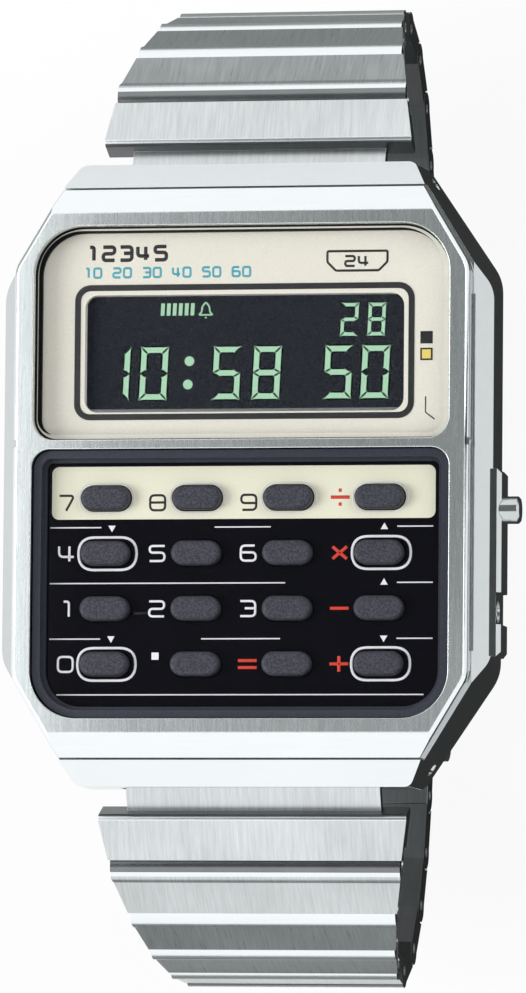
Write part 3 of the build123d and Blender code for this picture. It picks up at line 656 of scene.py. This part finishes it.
# Digits as stroke paths in shares of their width and height, about their centre
GLYPH_SHARES = {
    "zero": [([(-0.5, -0.5), (0.5, -0.5), (0.5, 0.5), (-0.5, 0.5)], True)],
    "one": [([(-0.15, 0.5), (0.2, 0.5), (0.2, -0.5)], False)],
    "two": [([(-0.5, 0.5), (0.5, 0.5), (0.5, 0), (-0.5, 0), (-0.5, -0.5), (0.5, -0.5)], False)],
    "three": [
        ([(-0.5, 0.5), (0.5, 0.5), (0.5, -0.5), (-0.5, -0.5)], False),
        ([(-0.2, 0.02), (0.5, 0.02)], False),
    ],
    "four": [
        ([(-0.5, 0.5), (-0.5, -0.2), (0.5, -0.2)], False),
        ([(0.2, 0.5), (0.2, -0.5)], False),
    ],
    "five": [([(0.5, 0.5), (-0.5, 0.5), (-0.5, 0.06), (0.5, 0.06), (0.5, -0.5), (-0.5, -0.5)], False)],
    "six": [([(0.42, 0.5), (-0.5, 0.5), (-0.5, -0.5), (0.5, -0.5), (0.5, 0.05), (-0.5, 0.05)], False)],
    "seven": [([(-0.5, 0.5), (0.5, 0.5), (-0.05, -0.5)], False)],
    "eight": [
        ([(-0.5, -0.5), (0.5, -0.5), (0.5, 0.5), (-0.5, 0.5)], True),
        ([(-0.5, 0.02), (0.5, 0.02)], False),
    ],
    "nine": [([(-0.42, -0.5), (0.5, -0.5), (0.5, 0.5), (-0.5, 0.5), (-0.5, -0.05), (0.5, -0.05)], False)],
    "plus": [([(-0.5, 0), (0.5, 0)], False), ([(0, -0.45), (0, 0.45)], False)],
    "minus": [([(-0.5, 0), (0.5, 0)], False)],
    "multiply": [([(-0.38, -0.35), (0.38, 0.35)], False), ([(-0.38, 0.35), (0.38, -0.35)], False)],
    "equals": [([(-0.5, 0.2), (0.5, 0.2)], False), ([(-0.5, -0.2), (0.5, -0.2)], False)],
    "divide": [
        ([(-0.5, 0), (0.5, 0)], False),
        ([(-0.08, 0.4), (0.08, 0.4)], False),
        ([(-0.08, -0.4), (0.08, -0.4)], False),
    ],
}
CORNER_SHARE = 0.3
DIGIT_WORDS = ["zero", "one", "two", "three", "four", "five", "six", "seven", "eight", "nine"]
SIGN_NAMES = ("plus", "minus", "multiply", "equals", "divide")


def glyph(name, center, width, height):
    """Stroke paths of one digit or sign about a centre, in millimetres."""
    paths = []
    for shares, closed in GLYPH_SHARES[name]:
        points = [(center[0] + x * width, center[1] + y * height) for x, y in shares]
        paths.append((rounded(points, CORNER_SHARE * width, closed), closed))
    return paths


def number(digits, left, base, width, height, pitch):
    """Stroke paths of a row of digits from its lower left corner."""
    paths = []
    for index, digit in enumerate(digits):
        center = (left + width / 2 + index * pitch, base + height / 2)
        paths += glyph(DIGIT_WORDS[int(digit)], center, width, height)
    return paths


# Case and bezel; the measures in these classes are in millimetres


class WATCH_OT_case(bpy.types.Operator):
    """Steel case body, case back and pushers"""

    bl_idname = "watch.build_case"
    bl_label = "Case"

    shoulder_level = 5.0
    guard_width = 1.2

    def execute(self, context):
        edge = sizes().edge
        body = refined("case_body", edge * 1.3, segments=3)
        settle(body, polished_steel(), CASE, "case_steel", "case_body")
        add_slots(body, painted_highlight_steel(), painted_dark_steel())
        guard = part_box("case_body")[1].x / MM - self.guard_width
        # Painted highlight on the end facets, and painted dark reflection on the guard's top
        paint_faces(body, 1, lambda at, n: abs(n.y) > 0.5 and n.z > 0.15 and at.z > self.shoulder_level)
        paint_faces(body, 2, lambda at, n: n.z > 0.9 and guard < at.x)
        back = refined("case_back", edge)
        brushed = steel("brushed back steel", (12000, 300, 300), 0.3, 0.12, 0.3)
        settle(back, brushed, CASE, "back_steel", "case_back")
        for name in ("mode_pusher", "adjust_pusher"):
            piece = refined(name, edge / 2)
            settle(piece, polished_steel(), name, "pusher_steel", name)
        return {"FINISHED"}


class WATCH_OT_bezel(bpy.types.Operator):
    """Top frame of the watch with its bar between display and keypad"""

    bl_idname = "watch.build_bezel"
    bl_label = "Bezel"

    def execute(self, context):
        piece = refined("bezel", sizes().edge * 0.8, segments=3)
        settle(piece, bezel_steel(), CASE, "bezel_steel", "bezel")
        add_slots(piece, painted_highlight_steel(), polished_steel())
        # The end facets get the brightened steel, a painted highlight
        paint_faces(piece, 1, lambda at, n: abs(n.y) > 0.2 and n.z > 0.5)
        paint_faces(piece, 2, lambda at, n: n.z < 0.5)
        return {"FINISHED"}


# Display side


class WATCH_OT_display(bpy.types.Operator):
    """Crystal, dial plate and its print, display glass and its segments"""

    bl_idname = "watch.build_display"
    bl_label = "Display"

    band_outer_width = 23.85
    band_outer_height = 9.4
    band_center = (0.0, 8.42)
    band_width = 0.42
    silver_width = 0.36
    marks_x = 12.77
    clock_digits = ((1, -9.1), (0, -6.42), (5, -1.3), (8, 1.52), (5, 6.52), (0, 9.12))
    date_digits = ((2, 7.3), (8, 9.2))

    def execute(self, context):
        nodes = frame["nodes"]
        paint_node(nodes["display_crystal"], clear_glass("clear crystal"))
        paint_node(nodes["crystal_gasket"], black_rubber())
        paint_node(nodes["dial_plate"], resin("cream dial print", finish().cream, 0.5, 0.12, 0.05, 16000))
        paint_node(nodes["lcd_panel"], resin("display glass", finish().glass, 0.12, 0.1, 0.0, 4000))
        self.frame_rings()
        self.dial_print()
        self.segments()
        return {"FINISHED"}

    def frame_rings(self):
        """Black band printed round the display and the bright bevel inside it."""
        width, height, center = self.band_outer_width, self.band_outer_height, self.band_center
        band, silver = self.band_width, self.silver_width
        ring_plate("display_band", (width, height), center, band, PRINT_STEP * 2, 1.1, dark_print())
        bright = steel("bright display bevel", (400, 400, 400), 0.3, 0.03, 0.02, 1.25)
        width -= 2 * band
        height -= 2 * band
        piece = ring_plate("display_bevel", (width, height), center, silver, PRINT_STEP, 0.75, bright)
        drop = DIAL_TOP - GLASS_TOP - PRINT_STEP
        for vertex in piece.data.vertices:
            from_side = width / 2 - abs(vertex.co.x / MM - center[0])
            from_end = height / 2 - abs(vertex.co.y / MM - center[1])
            if min(from_side, from_end) > silver / 2:
                vertex.co.z -= drop * MM

    def dial_print(self):
        """Generic print on the dial: plain numbers, a small scale, a badge and two marks."""
        ink = dark_print()
        hours = number("12345", -11.2, 14.84, 0.8, 0.92, 1.22)
        strokes("dial_numbers", hours, 0.13 * MM, DIAL_TOP, ink, "dial_print")
        scale = []
        for index in range(6):
            scale += number(f"{(index + 1) * 10}", -11.35 + index * 2.1, 13.64, 0.5, 0.64, 0.74)
        teal = resin("teal print", finish().teal, 0.4, 0.15)
        strokes("dial_scale", scale, 0.08 * MM, DIAL_TOP, teal, "dial_print")
        outline = [(5.8, 15.3), (10.0, 15.3), (10.0, 14.55), (9.4, 13.95), (6.4, 13.95), (5.8, 14.55)]
        badge = [(rounded(outline, 0.12, closed=True), True)]
        badge += number("24", 7.05, 14.27, 0.66, 0.68, 0.95)
        strokes("dial_badge", badge, 0.085 * MM, DIAL_TOP, ink, "dial_print")
        yellow = resin("yellow print", finish().yellow, 0.4, 0.1)
        for name, side, y, layers, material in (
            ("mark_black", 0.86, 9.28, 1, ink),
            ("mark_border", 0.86, 8.13, 1, ink),
            ("mark_yellow", 0.62, 8.13, 2, yellow),
        ):
            place = (self.marks_x, y)
            flat_plate(name, (side, side), place, DIAL_TOP, PRINT_STEP * layers, 0, material, "dial_print")
        pointer = [([(12.73, 5.21), (12.73, 4.11), (13.37, 3.62)], False)]
        strokes("mark_pointer", pointer, 0.05 * MM, DIAL_TOP, ink, "dial_print")

    def segments(self):
        """Lit segments of the display: hours, minutes, seconds, date, colon, bars and bell."""
        for name, digits, y, size, gap, rim in (
            ("display_digits", self.clock_digits, 6.98, (2.02, 3.75, 0.5), 0.025, 0.06),
            ("display_date", self.date_digits, 10.62, (1.3, 2.36, 0.33), 0.02, 0.045),
        ):
            faces = []
            for digit, x in digits:
                faces += seven_segments(digit, (x, y), *size)
            lit_faces(name, faces, gap, rim)
        faces = []
        turns = [math.radians(turn) for turn in range(0, 360, 20)]
        for x, y in ((-3.92, 7.82), (-4.02, 6.2)):
            dot = [(x + 0.34 * math.cos(turn), y + 0.34 * math.sin(turn)) for turn in turns]
            faces.append(flat_face(dot))
        for index in range(6):
            x = -5.85 + index * 0.42
            bar = [(x - 0.13, 11.0), (x + 0.13, 11.0), (x + 0.17, 11.85), (x - 0.09, 11.85)]
            faces.append(flat_face(bar))
        lit_faces("display_signs", faces, 0.0, 0.05)
        bell = [
            (-3.3, 11.03), (-3.1, 11.2), (-3.04, 11.62), (-2.8, 11.92),
            (-2.56, 11.62), (-2.5, 11.2), (-2.3, 11.03),
        ]
        clapper = [(-2.86, 10.84), (-2.74, 10.84)]
        paths = [(rounded(bell, 0.12, closed=True), True), (clapper, False)]
        strokes("display_bell", paths, 0.06 * MM, GLASS_TOP, lit_segment(), "display_glass")


DIGIT_SLANT = math.radians(2.6)
SEGMENTS_LIT = ["abcdef", "bc", "abged", "abgcd", "fgbc", "afgcd", "afgedc", "abc", "abcdefg", "abcdfg"]


def segment_shapes(width, height, thick):
    """Outlines of the seven mitred segments of a digit, about its centre, in millimetres."""
    w, h, m = width / 2, height / 2, thick / 2
    top = [(-w, h), (w, h), (w - thick, h - thick), (-w + thick, h - thick)]
    low = [(x, -y) for x, y in reversed(top)]
    middle = [
        (-w + m / 3, 0), (-w + thick, -m), (w - thick, -m),
        (w - m / 3, 0), (w - thick, m), (-w + thick, m),
    ]
    right = [(w, h), (w, m / 3), (w - m / 3, 0), (w - thick, m), (w - thick, h - thick)]
    left = [(-x, y) for x, y in reversed(right)]
    return {
        "a": top,
        "b": right,
        "c": [(x, -y) for x, y in reversed(right)],
        "d": low,
        "e": [(x, -y) for x, y in reversed(left)],
        "f": left,
        "g": middle,
    }


def seven_segments(digit, center, width, height, thick):
    """The lit segments of one digit: one flat face each, slanted like the photographed ones."""
    shapes = segment_shapes(width, height, thick)
    slant = math.tan(DIGIT_SLANT)
    faces = []
    for letter in SEGMENTS_LIT[digit]:
        faces.append(flat_face([(center[0] + x + y * slant, center[1] + y) for x, y in shapes[letter]]))
    return faces


def flat_face(points):
    """One flat face on the display glass with the given corners, in millimetres."""
    deselect()
    bpy.ops.mesh.primitive_circle_add(vertices=len(points), radius=1, fill_type="NGON")
    piece = bpy.context.object
    for vertex, point in zip(piece.data.vertices, points):
        vertex.co = (point[0] * MM, point[1] * MM, (GLASS_TOP + PRINT_STEP) * MM)
    return piece


def join_pieces(name, pieces):
    """Joins pieces into one mesh."""
    deselect()
    for piece in pieces:
        piece.select_set(True)
    bpy.context.view_layer.objects.active = pieces[0]
    bpy.ops.object.join()
    piece = bpy.context.object
    piece.name = name
    return piece


def lit_faces(name, faces, gap, rim):
    """Joins flat faces, draws each in by a gap, and leaves a darker rim round its lit middle."""
    piece = join_pieces(name, faces)
    settle(piece, lit_segment(), CASE, "display_glass")
    add_slots(piece, resin("segment rim", finish().rim, 0.45, 0.05, 0.0))
    activate(piece)
    bpy.ops.object.mode_set(mode="EDIT")
    bpy.ops.mesh.select_all(action="SELECT")
    bpy.ops.mesh.normals_make_consistent(inside=False)
    bpy.ops.mesh.inset(thickness=gap * MM, use_individual=True)
    bpy.ops.mesh.select_all(action="INVERT")
    bpy.ops.mesh.delete(type="FACE")
    bpy.ops.mesh.select_all(action="SELECT")
    bpy.ops.mesh.inset(thickness=rim * MM, use_individual=True)
    bpy.ops.mesh.select_all(action="INVERT")
    piece.active_material_index = 1
    bpy.ops.object.material_slot_assign()
    thicken(-PRINT_STEP)


def ring_plate(name, size, center, band, thickness, corner, material):
    """Flat ring on the dial: a plate whose middle is inset and taken out."""
    piece = sheet(name, size, center, DIAL_TOP)
    bpy.ops.mesh.bevel(offset=corner * MM, segments=CORNER_STEPS, affect="VERTICES")
    bpy.ops.mesh.select_all(action="SELECT")
    bpy.ops.mesh.inset(thickness=band * MM, depth=0)
    bpy.ops.mesh.delete(type="FACE")
    thicken(thickness)
    return settle(piece, material, CASE, "dial_print")


# Keypad side


class WATCH_OT_keypad(bpy.types.Operator):
    """Keypad panel with its strip, digits, signs, lines and key rings"""

    bl_idname = "watch.build_keypad"
    bl_label = "Keypad"

    panel_top = 6.55
    lip_step = 0.05
    strip_width = 26.9
    strip_low = -3.16
    strip_high = 0.5
    opening_length = 3.61
    opening_width = 1.86
    first_row_drop = 0.32
    ringed_keys = ("four", "multiply", "zero", "plus")

    def execute(self, context):
        panel = refined("keypad_plate", sizes().edge * 0.7)
        black = resin("black keypad print", finish().panel, 0.16, 0.2, 0.02, 9000, 0.25)
        settle(panel, black, CASE, "keypad_print", "keypad_plate")
        add_slots(panel, resin("grey keypad lip", finish().lip, 0.35, 0.3, 0.05, 9000, 0.3))
        paint_faces(panel, 1, lambda at, n: at.z > self.panel_top + self.lip_step)
        self.cream_strip()
        self.digits()
        self.lines()
        self.rings()
        return {"FINISHED"}

    def cream_strip(self):
        """Pale band behind the top row, with an opening for each of its keys."""
        strip = resin("cream strip print", finish().strip, 0.45, 0.12, 0.05, 16000)
        center = (0, (self.strip_low + self.strip_high) / 2)
        size = (self.strip_width, self.strip_high - self.strip_low)
        piece = flat_plate(
            "keypad_strip", size, center, self.panel_top, PRINT_STEP, 0.5, strip, "keypad_print"
        )
        size = (self.opening_length, self.opening_width)
        cut_with(piece, [pill_cutter(key_center(name), size, self.panel_top) for name in KEY_NAMES[0]])

    def digits(self):
        """Digits and signs to the left of each key."""
        width, height = sizes().digit_width / MM, sizes().digit_height / MM
        reach = sizes().digit_reach / MM
        level = self.panel_top
        groups = {"white": [], "dark": [], "red": []}
        for row, names in enumerate(KEY_NAMES):
            for name in names:
                x, y = key_center(name)
                if name == "point":
                    place = (x - 2.88, y + 0.56)
                    ink = white_print()
                    flat_plate("keypad_point", (0.5, 0.5), place, level, PRINT_STEP, 0, ink, "keypad_print")
                elif name in SIGN_NAMES:
                    groups["red"] += glyph(name, (x - reach, y), width * 1.25, height * 1.15)
                elif row == 0:
                    groups["dark"] += glyph(name, (x - reach, y - self.first_row_drop), width, height)
                else:
                    groups["white"] += glyph(name, (x - reach, y), width, height)
        for label, colour, rise, bold in (
            ("white", finish().white, 0, 1.0),
            ("dark", finish().ink, PRINT_STEP, 1.0),
            ("red", finish().red, PRINT_STEP, 1.4),
        ):
            ink = resin(f"{label} keypad ink", colour, 0.4, 0.1, 0.03)
            half_width = sizes().stroke * bold
            strokes(f"keypad_digits_{label}", groups[label], half_width, level + rise, ink, "keypad_print")

    def lines(self):
        """White lines between the rows, with the small triangles on them."""
        ink = white_print()
        level = self.panel_top
        spans = [
            (-3.72, -13.56, -9.96), (-3.72, -1.98, 1.96), (-3.72, 10.8, 13.3),
            (-7.59, -13.56, 3.0), (-7.59, 10.8, 13.3),
            (-11.44, -13.56, -9.96), (-11.44, -2.86, 2.67), (-11.44, 10.8, 13.3),
            (-15.3, -13.0, 12.7),
        ]
        paths = [([(left, y), (right, y)], False) for y, left, right in spans]
        strokes("keypad_lines", paths, 0.05 * MM, level, ink, "keypad_print")
        arrows = [
            (-9.2, -3.74, -1), (9.9, -3.77, 1), (9.9, -7.6, 1), (-9.2, -11.4, -1), (9.9, -11.4, -1),
        ]
        signs = [triangle((x, y), 0.3, up, level, ink) for x, y, up in arrows]
        settle(join_pieces("keypad_triangles", signs), ink, CASE, "keypad_print")

    def rings(self):
        """White outlines round the keys that have a second use, and thin ones round the top row."""
        for label, keys, width, height, shift, half_width, rise in (
            ("key_rings", self.ringed_keys, 4.08, 2.24, 0.1, 0.1, 0),
            ("key_outlines", KEY_NAMES[0], 3.85, 2.1, 0, 0.045, PRINT_STEP),
        ):
            paths = []
            for name in keys:
                x, y = key_center(name)
                paths.append(pill_path(width, height, (x + shift, y)))
            strokes(label, paths, half_width * MM, self.panel_top + rise, white_print(), "keypad_print")


def triangle(center, size, up, level, material):
    """Small solid triangle that points up or down the dial."""
    deselect()
    bpy.ops.mesh.primitive_circle_add(
        vertices=3, radius=size * MM, fill_type="NGON",
        location=(center[0] * MM, center[1] * MM, level * MM),
        rotation=(0, 0, math.radians(0 if up > 0 else 180)),
    )
    piece = bpy.context.object
    bpy.ops.object.mode_set(mode="EDIT")
    thicken(PRINT_STEP)
    return settle(piece, material, CASE, "keypad_print")


class WATCH_OT_keys(bpy.types.Operator):
    """Sixteen resin keys"""

    bl_idname = "watch.build_keys"
    bl_label = "Keys"

    def execute(self, context):
        material = resin("grained key resin", finish().key, 0.5, 0.9, 0.5, 7000, 0.25)
        for names in KEY_NAMES:
            for name in names:
                paint_node(frame["nodes"][f"key_{name}"], material)
        return {"FINISHED"}


# Bracelet and clasp

LINKS = 10


def link_direction(half, index):
    """Unit vector from a link's near hinge to its far hinge, and its outward normal."""
    spots = {}
    for joint in frame["joints"]:
        if joint["type"] == "hinge":
            spots[joint["name"]] = Vector(joint["pos_m"])
    near = spots[f"{half}_hinge_{index}"]
    if index < LINKS:
        far = spots[f"{half}_hinge_{index + 1}"]
    else:
        far = spots["leaf_hinge" if half == "upper" else "cover_hinge"]
    along = (far - near).normalized()
    outward = along.cross(Vector((1, 0, 0)) if half == "lower" else Vector((-1, 0, 0)))
    return along, outward


class WATCH_OT_bracelet(bpy.types.Operator):
    """Twenty links, their pins and the clasp"""

    bl_idname = "watch.build_bracelet"
    bl_label = "Bracelet"

    def execute(self, context):
        edge = sizes().edge * 0.6
        for half in ("upper", "lower"):
            for index in range(1, LINKS + 1):
                name = f"{half}_link_{index}"
                piece = refined(name, edge)
                settle(piece, link_steel(), name, "link_steel", name)
                along, outward = link_direction(half, index)
                add_slots(piece, painted_shade_steel(), painted_highlight_steel(), painted_dark_steel())
                # The links' rolled near edges get a painted highlight; on the second link only the roll's
                # upper part does, and its lower part gets painted dark reflection. Every link's sides get
                # painted dark reflection, and its inner and end faces painted shade.
                lit = -0.4 if index == 2 else -0.95
                paint_faces(piece, 2, lambda at, n: n.dot(outward) > 0.1 and lit < n.dot(along) < -0.12)
                paint_faces(piece, 1, lambda at, n: n.dot(outward) < -0.5 or n.dot(along) < -0.8)
                paint_faces(piece, 3, lambda at, n: abs(n.x) > 0.9 or -0.8 < n.dot(along) < lit)
        clasp = steel("brushed clasp steel", (14000, 260, 260), 0.28, 0.14, 0.3)
        for name in ("clasp_leaf", "clasp_cover", "clasp_lock"):
            piece = refined(name, edge)
            settle(piece, clasp, name, "clasp_steel", name)
        paint_node(frame["nodes"]["clamped_links"], link_steel())
        return {"FINISHED"}


class WATCH_OT_inside(bpy.types.Operator):
    """Finishes of the pieces inside the case"""

    bl_idname = "watch.build_inside"
    bl_label = "Inside"

    def execute(self, context):
        nodes = frame["nodes"]
        rubber = resin("grey rubber", paint(120, 120, 124), 0.7)
        paint_node(nodes["key_mat"], rubber)
        paint_node(nodes["elastomer_strips"], rubber)
        paint_node(nodes["back_gasket"], black_rubber())
        paint_node(nodes["circuit_board"], resin("green board", paint(34, 92, 56), 0.4, 0.4, 0.1, 3000))
        paint_node(nodes["module_frame"], resin("black frame resin", paint(30, 30, 33), 0.5))
        bare = steel("plain hardware steel", (600, 600, 600), 0.25, 0.06, 0.05)
        for name in ("battery_cell", "battery_clip", "pusher_springs", "spring_bars", "back_screws"):
            paint_node(nodes[name], bare)
        return {"FINISHED"}


# Stage


def camera_side(side=1):
    """Direction from the dial to the camera, or with side -1 to what a level mirror reflects to it."""
    return Vector(
        (
            side * math.sin(VIEW_TURN) * math.cos(VIEW_TILT),
            -side * math.sin(VIEW_TILT),
            math.cos(VIEW_TURN) * math.cos(VIEW_TILT),
        )
    )


class WATCH_OT_stage(bpy.types.Operator):
    """Pale floor, soft studio light and the camera at the photographed angle"""

    bl_idname = "watch.build_stage"
    bl_label = "Stage"

    def execute(self, context):
        self.floor()
        self.world(context)
        self.lamps()
        self.camera(context)
        context.scene.view_settings.view_transform = "Standard"
        return {"FINISHED"}

    def floor(self):
        """Matt floor under the watch, nearly white to the camera."""
        deselect()
        bpy.ops.mesh.primitive_plane_add(size=FLOOR_SIZE, location=(0, 0, frame_box[0][2]))
        floor = bpy.context.object
        floor.name = "floor"
        material, shader = blank_material("pale floor")
        tree = material.node_tree
        fill(tree, shader, {"Base Color": (0.9, 0.9, 0.9, 1), "Roughness": 0.9})
        glow = add_node(tree, "ShaderNodeEmission", {"Strength": 1.0})
        share = calc(tree, "MULTIPLY", seen_by_eye(tree), FLOOR_GLOW)
        blend(tree, share, shader.outputs["BSDF"], glow.outputs["Emission"], "Material Output")
        floor.data.materials.append(material)

    def world(self, context):
        """White studio that lights softly; shiny faces see it brighter, with a dark spot overhead."""
        world = bpy.data.worlds.new("studio")
        context.scene.world = world
        world.use_nodes = True
        tree = world.node_tree
        light = tree.nodes["Background"]
        fill(tree, light, {"Color": WHITE, "Strength": WORLD_LIGHT})
        toward = add_node(tree, "ShaderNodeTexCoord", {}).outputs["Generated"]
        inputs = {0: toward, 1: camera_side(-1)}
        along = add_node(tree, "ShaderNodeVectorMath", inputs, operation="DOT_PRODUCT").outputs["Value"]
        inputs = {"Value": along, "From Min": math.cos(SPOT_EDGE), "From Max": math.cos(SPOT_CORE)}
        spot = add_node(tree, "ShaderNodeMapRange", inputs, interpolation_type="SMOOTHSTEP")
        inputs = {"Factor": spot.outputs["Result"], "A": WHITE, "B": SPOT_COLOUR}
        tint = add_node(tree, "ShaderNodeMix", inputs, data_type="RGBA")
        inputs = {"Color": tint.outputs["Result"], "Strength": 1.0}
        shown = add_node(tree, "ShaderNodeBackground", inputs).outputs["Background"]
        blend(tree, seen_by_eye(tree), light.outputs["Background"], shown, "World Output")

    def lamps(self):
        """Two soft lamps, and the cards that shape the reflections, with their places in metres."""
        for name, place, size, power in (
            ("lamp_key", (-0.6, -0.08, 0.5), 0.4, 4.0),
            ("lamp_fill", (0.5, 0.2, 0.5), 0.35, 1.2),
        ):
            deselect()
            bpy.ops.object.light_add(type="AREA", location=place)
            lamp = bpy.context.object
            lamp.name = name
            lamp.data.size = size
            lamp.data.energy = power
            lamp.rotation_euler = (-Vector(place)).to_track_quat("-Z", "Y").to_euler()
        level = frame_box[0][2] + 0.5 * MM
        self.card("card_right", (0.0545, 0.0, level + 0.2 * MM), (0.094, 0.13), 0.05)
        self.card("card_behind", (0.0, 0.155, level), (0.6, 0.24), 0.24)
        self.card("card_before", (0.0, -0.1, level), (0.2, 0.11), 0.2)
        self.card("card_above", (0.007, 0.0145, 0.06), (0.056, 0.061), 0.2)
        self.card("card_bright", (-0.0455, 0.0095, 0.06), (0.037, 0.075), 1.0, glow=0.75)

    def card(self, name, place, spread, shade, glow=0.0):
        """Grey or bright card that only reflections see."""
        deselect()
        bpy.ops.mesh.primitive_plane_add(size=1.0, location=place)
        card = bpy.context.object
        card.name = name
        card.scale = (*spread, 1)
        material, shader = blank_material(f"{name} cloth")
        inputs = {
            "Base Color": (shade, shade * 1.06, shade * 1.04, 1),
            "Roughness": 1.0,
            "Specular IOR Level": 0.0,
            "Emission Color": WHITE,
            "Emission Strength": glow,
        }
        fill(material.node_tree, shader, inputs)
        card.data.materials.append(material)
        card.visible_camera = False
        card.visible_shadow = False
        card.visible_diffuse = False

    def camera(self, context):
        """Camera that frames the dial where the photograph has it."""
        dial_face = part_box("bezel")[1].z
        deselect()
        bpy.ops.object.camera_add()
        camera = bpy.context.object
        camera.name = "camera"
        back = camera_side()
        right = Vector((0, 1, 0)).cross(back).normalized()
        up = back.cross(right)
        across = (PHOTO_WIDTH / 2 - DIAL_PIXEL_X) / PIXELS_PER_MM * MM
        down = (PHOTO_HEIGHT / 2 - DIAL_PIXEL_Y) / PIXELS_PER_MM * MM
        aim = Vector((0, 0, dial_face)) + right * across - up * down
        turn = Matrix((right, up, back)).transposed() @ Matrix.Rotation(VIEW_ROLL, 3, "Z")
        camera.matrix_world = Matrix.Translation(aim + back * CAMERA_DISTANCE * MM) @ turn.to_4x4()
        camera.data.sensor_width = SENSOR
        camera.data.lens = SENSOR * CAMERA_DISTANCE / (PHOTO_HEIGHT / PIXELS_PER_MM)
        camera.data.clip_start = 0.01
        camera.data.clip_end = 20
        context.scene.camera = camera


class WATCH_PT_panel(bpy.types.Panel):
    """Lists the watch's building steps"""

    bl_label = "Calculator Watch"
    bl_idname = "WATCH_PT_panel"
    bl_space_type = "VIEW_3D"
    bl_region_type = "UI"
    bl_category = "Watch"

    def draw(self, context):
        for operator in STEPS:
            self.layout.operator(operator.bl_idname)
        for group in (context.scene.watch_finish, context.scene.watch_sizes):
            for name in group.bl_rna.properties.keys():
                if name not in ("rna_type", "name"):
                    self.layout.prop(group, name)


STEPS = [
    WATCH_OT_case,
    WATCH_OT_bezel,
    WATCH_OT_display,
    WATCH_OT_keypad,
    WATCH_OT_keys,
    WATCH_OT_bracelet,
    WATCH_OT_inside,
    WATCH_OT_stage,
]
CLASSES = [WatchFinish, WatchSizes, *STEPS, WATCH_PT_panel]


def register():
    for kind in CLASSES:
        bpy.utils.register_class(kind)
    bpy.types.Scene.watch_finish = bpy.props.PointerProperty(type=WatchFinish)
    bpy.types.Scene.watch_sizes = bpy.props.PointerProperty(type=WatchSizes)


def unregister():
    del bpy.types.Scene.watch_finish
    del bpy.types.Scene.watch_sizes
    for kind in reversed(CLASSES):
        bpy.utils.unregister_class(kind)


def main():
    register()
    for operator in STEPS:
        group, name = operator.bl_idname.split(".")
        getattr(getattr(bpy.ops, group), name)()


if __name__ == "__main__":
    main()
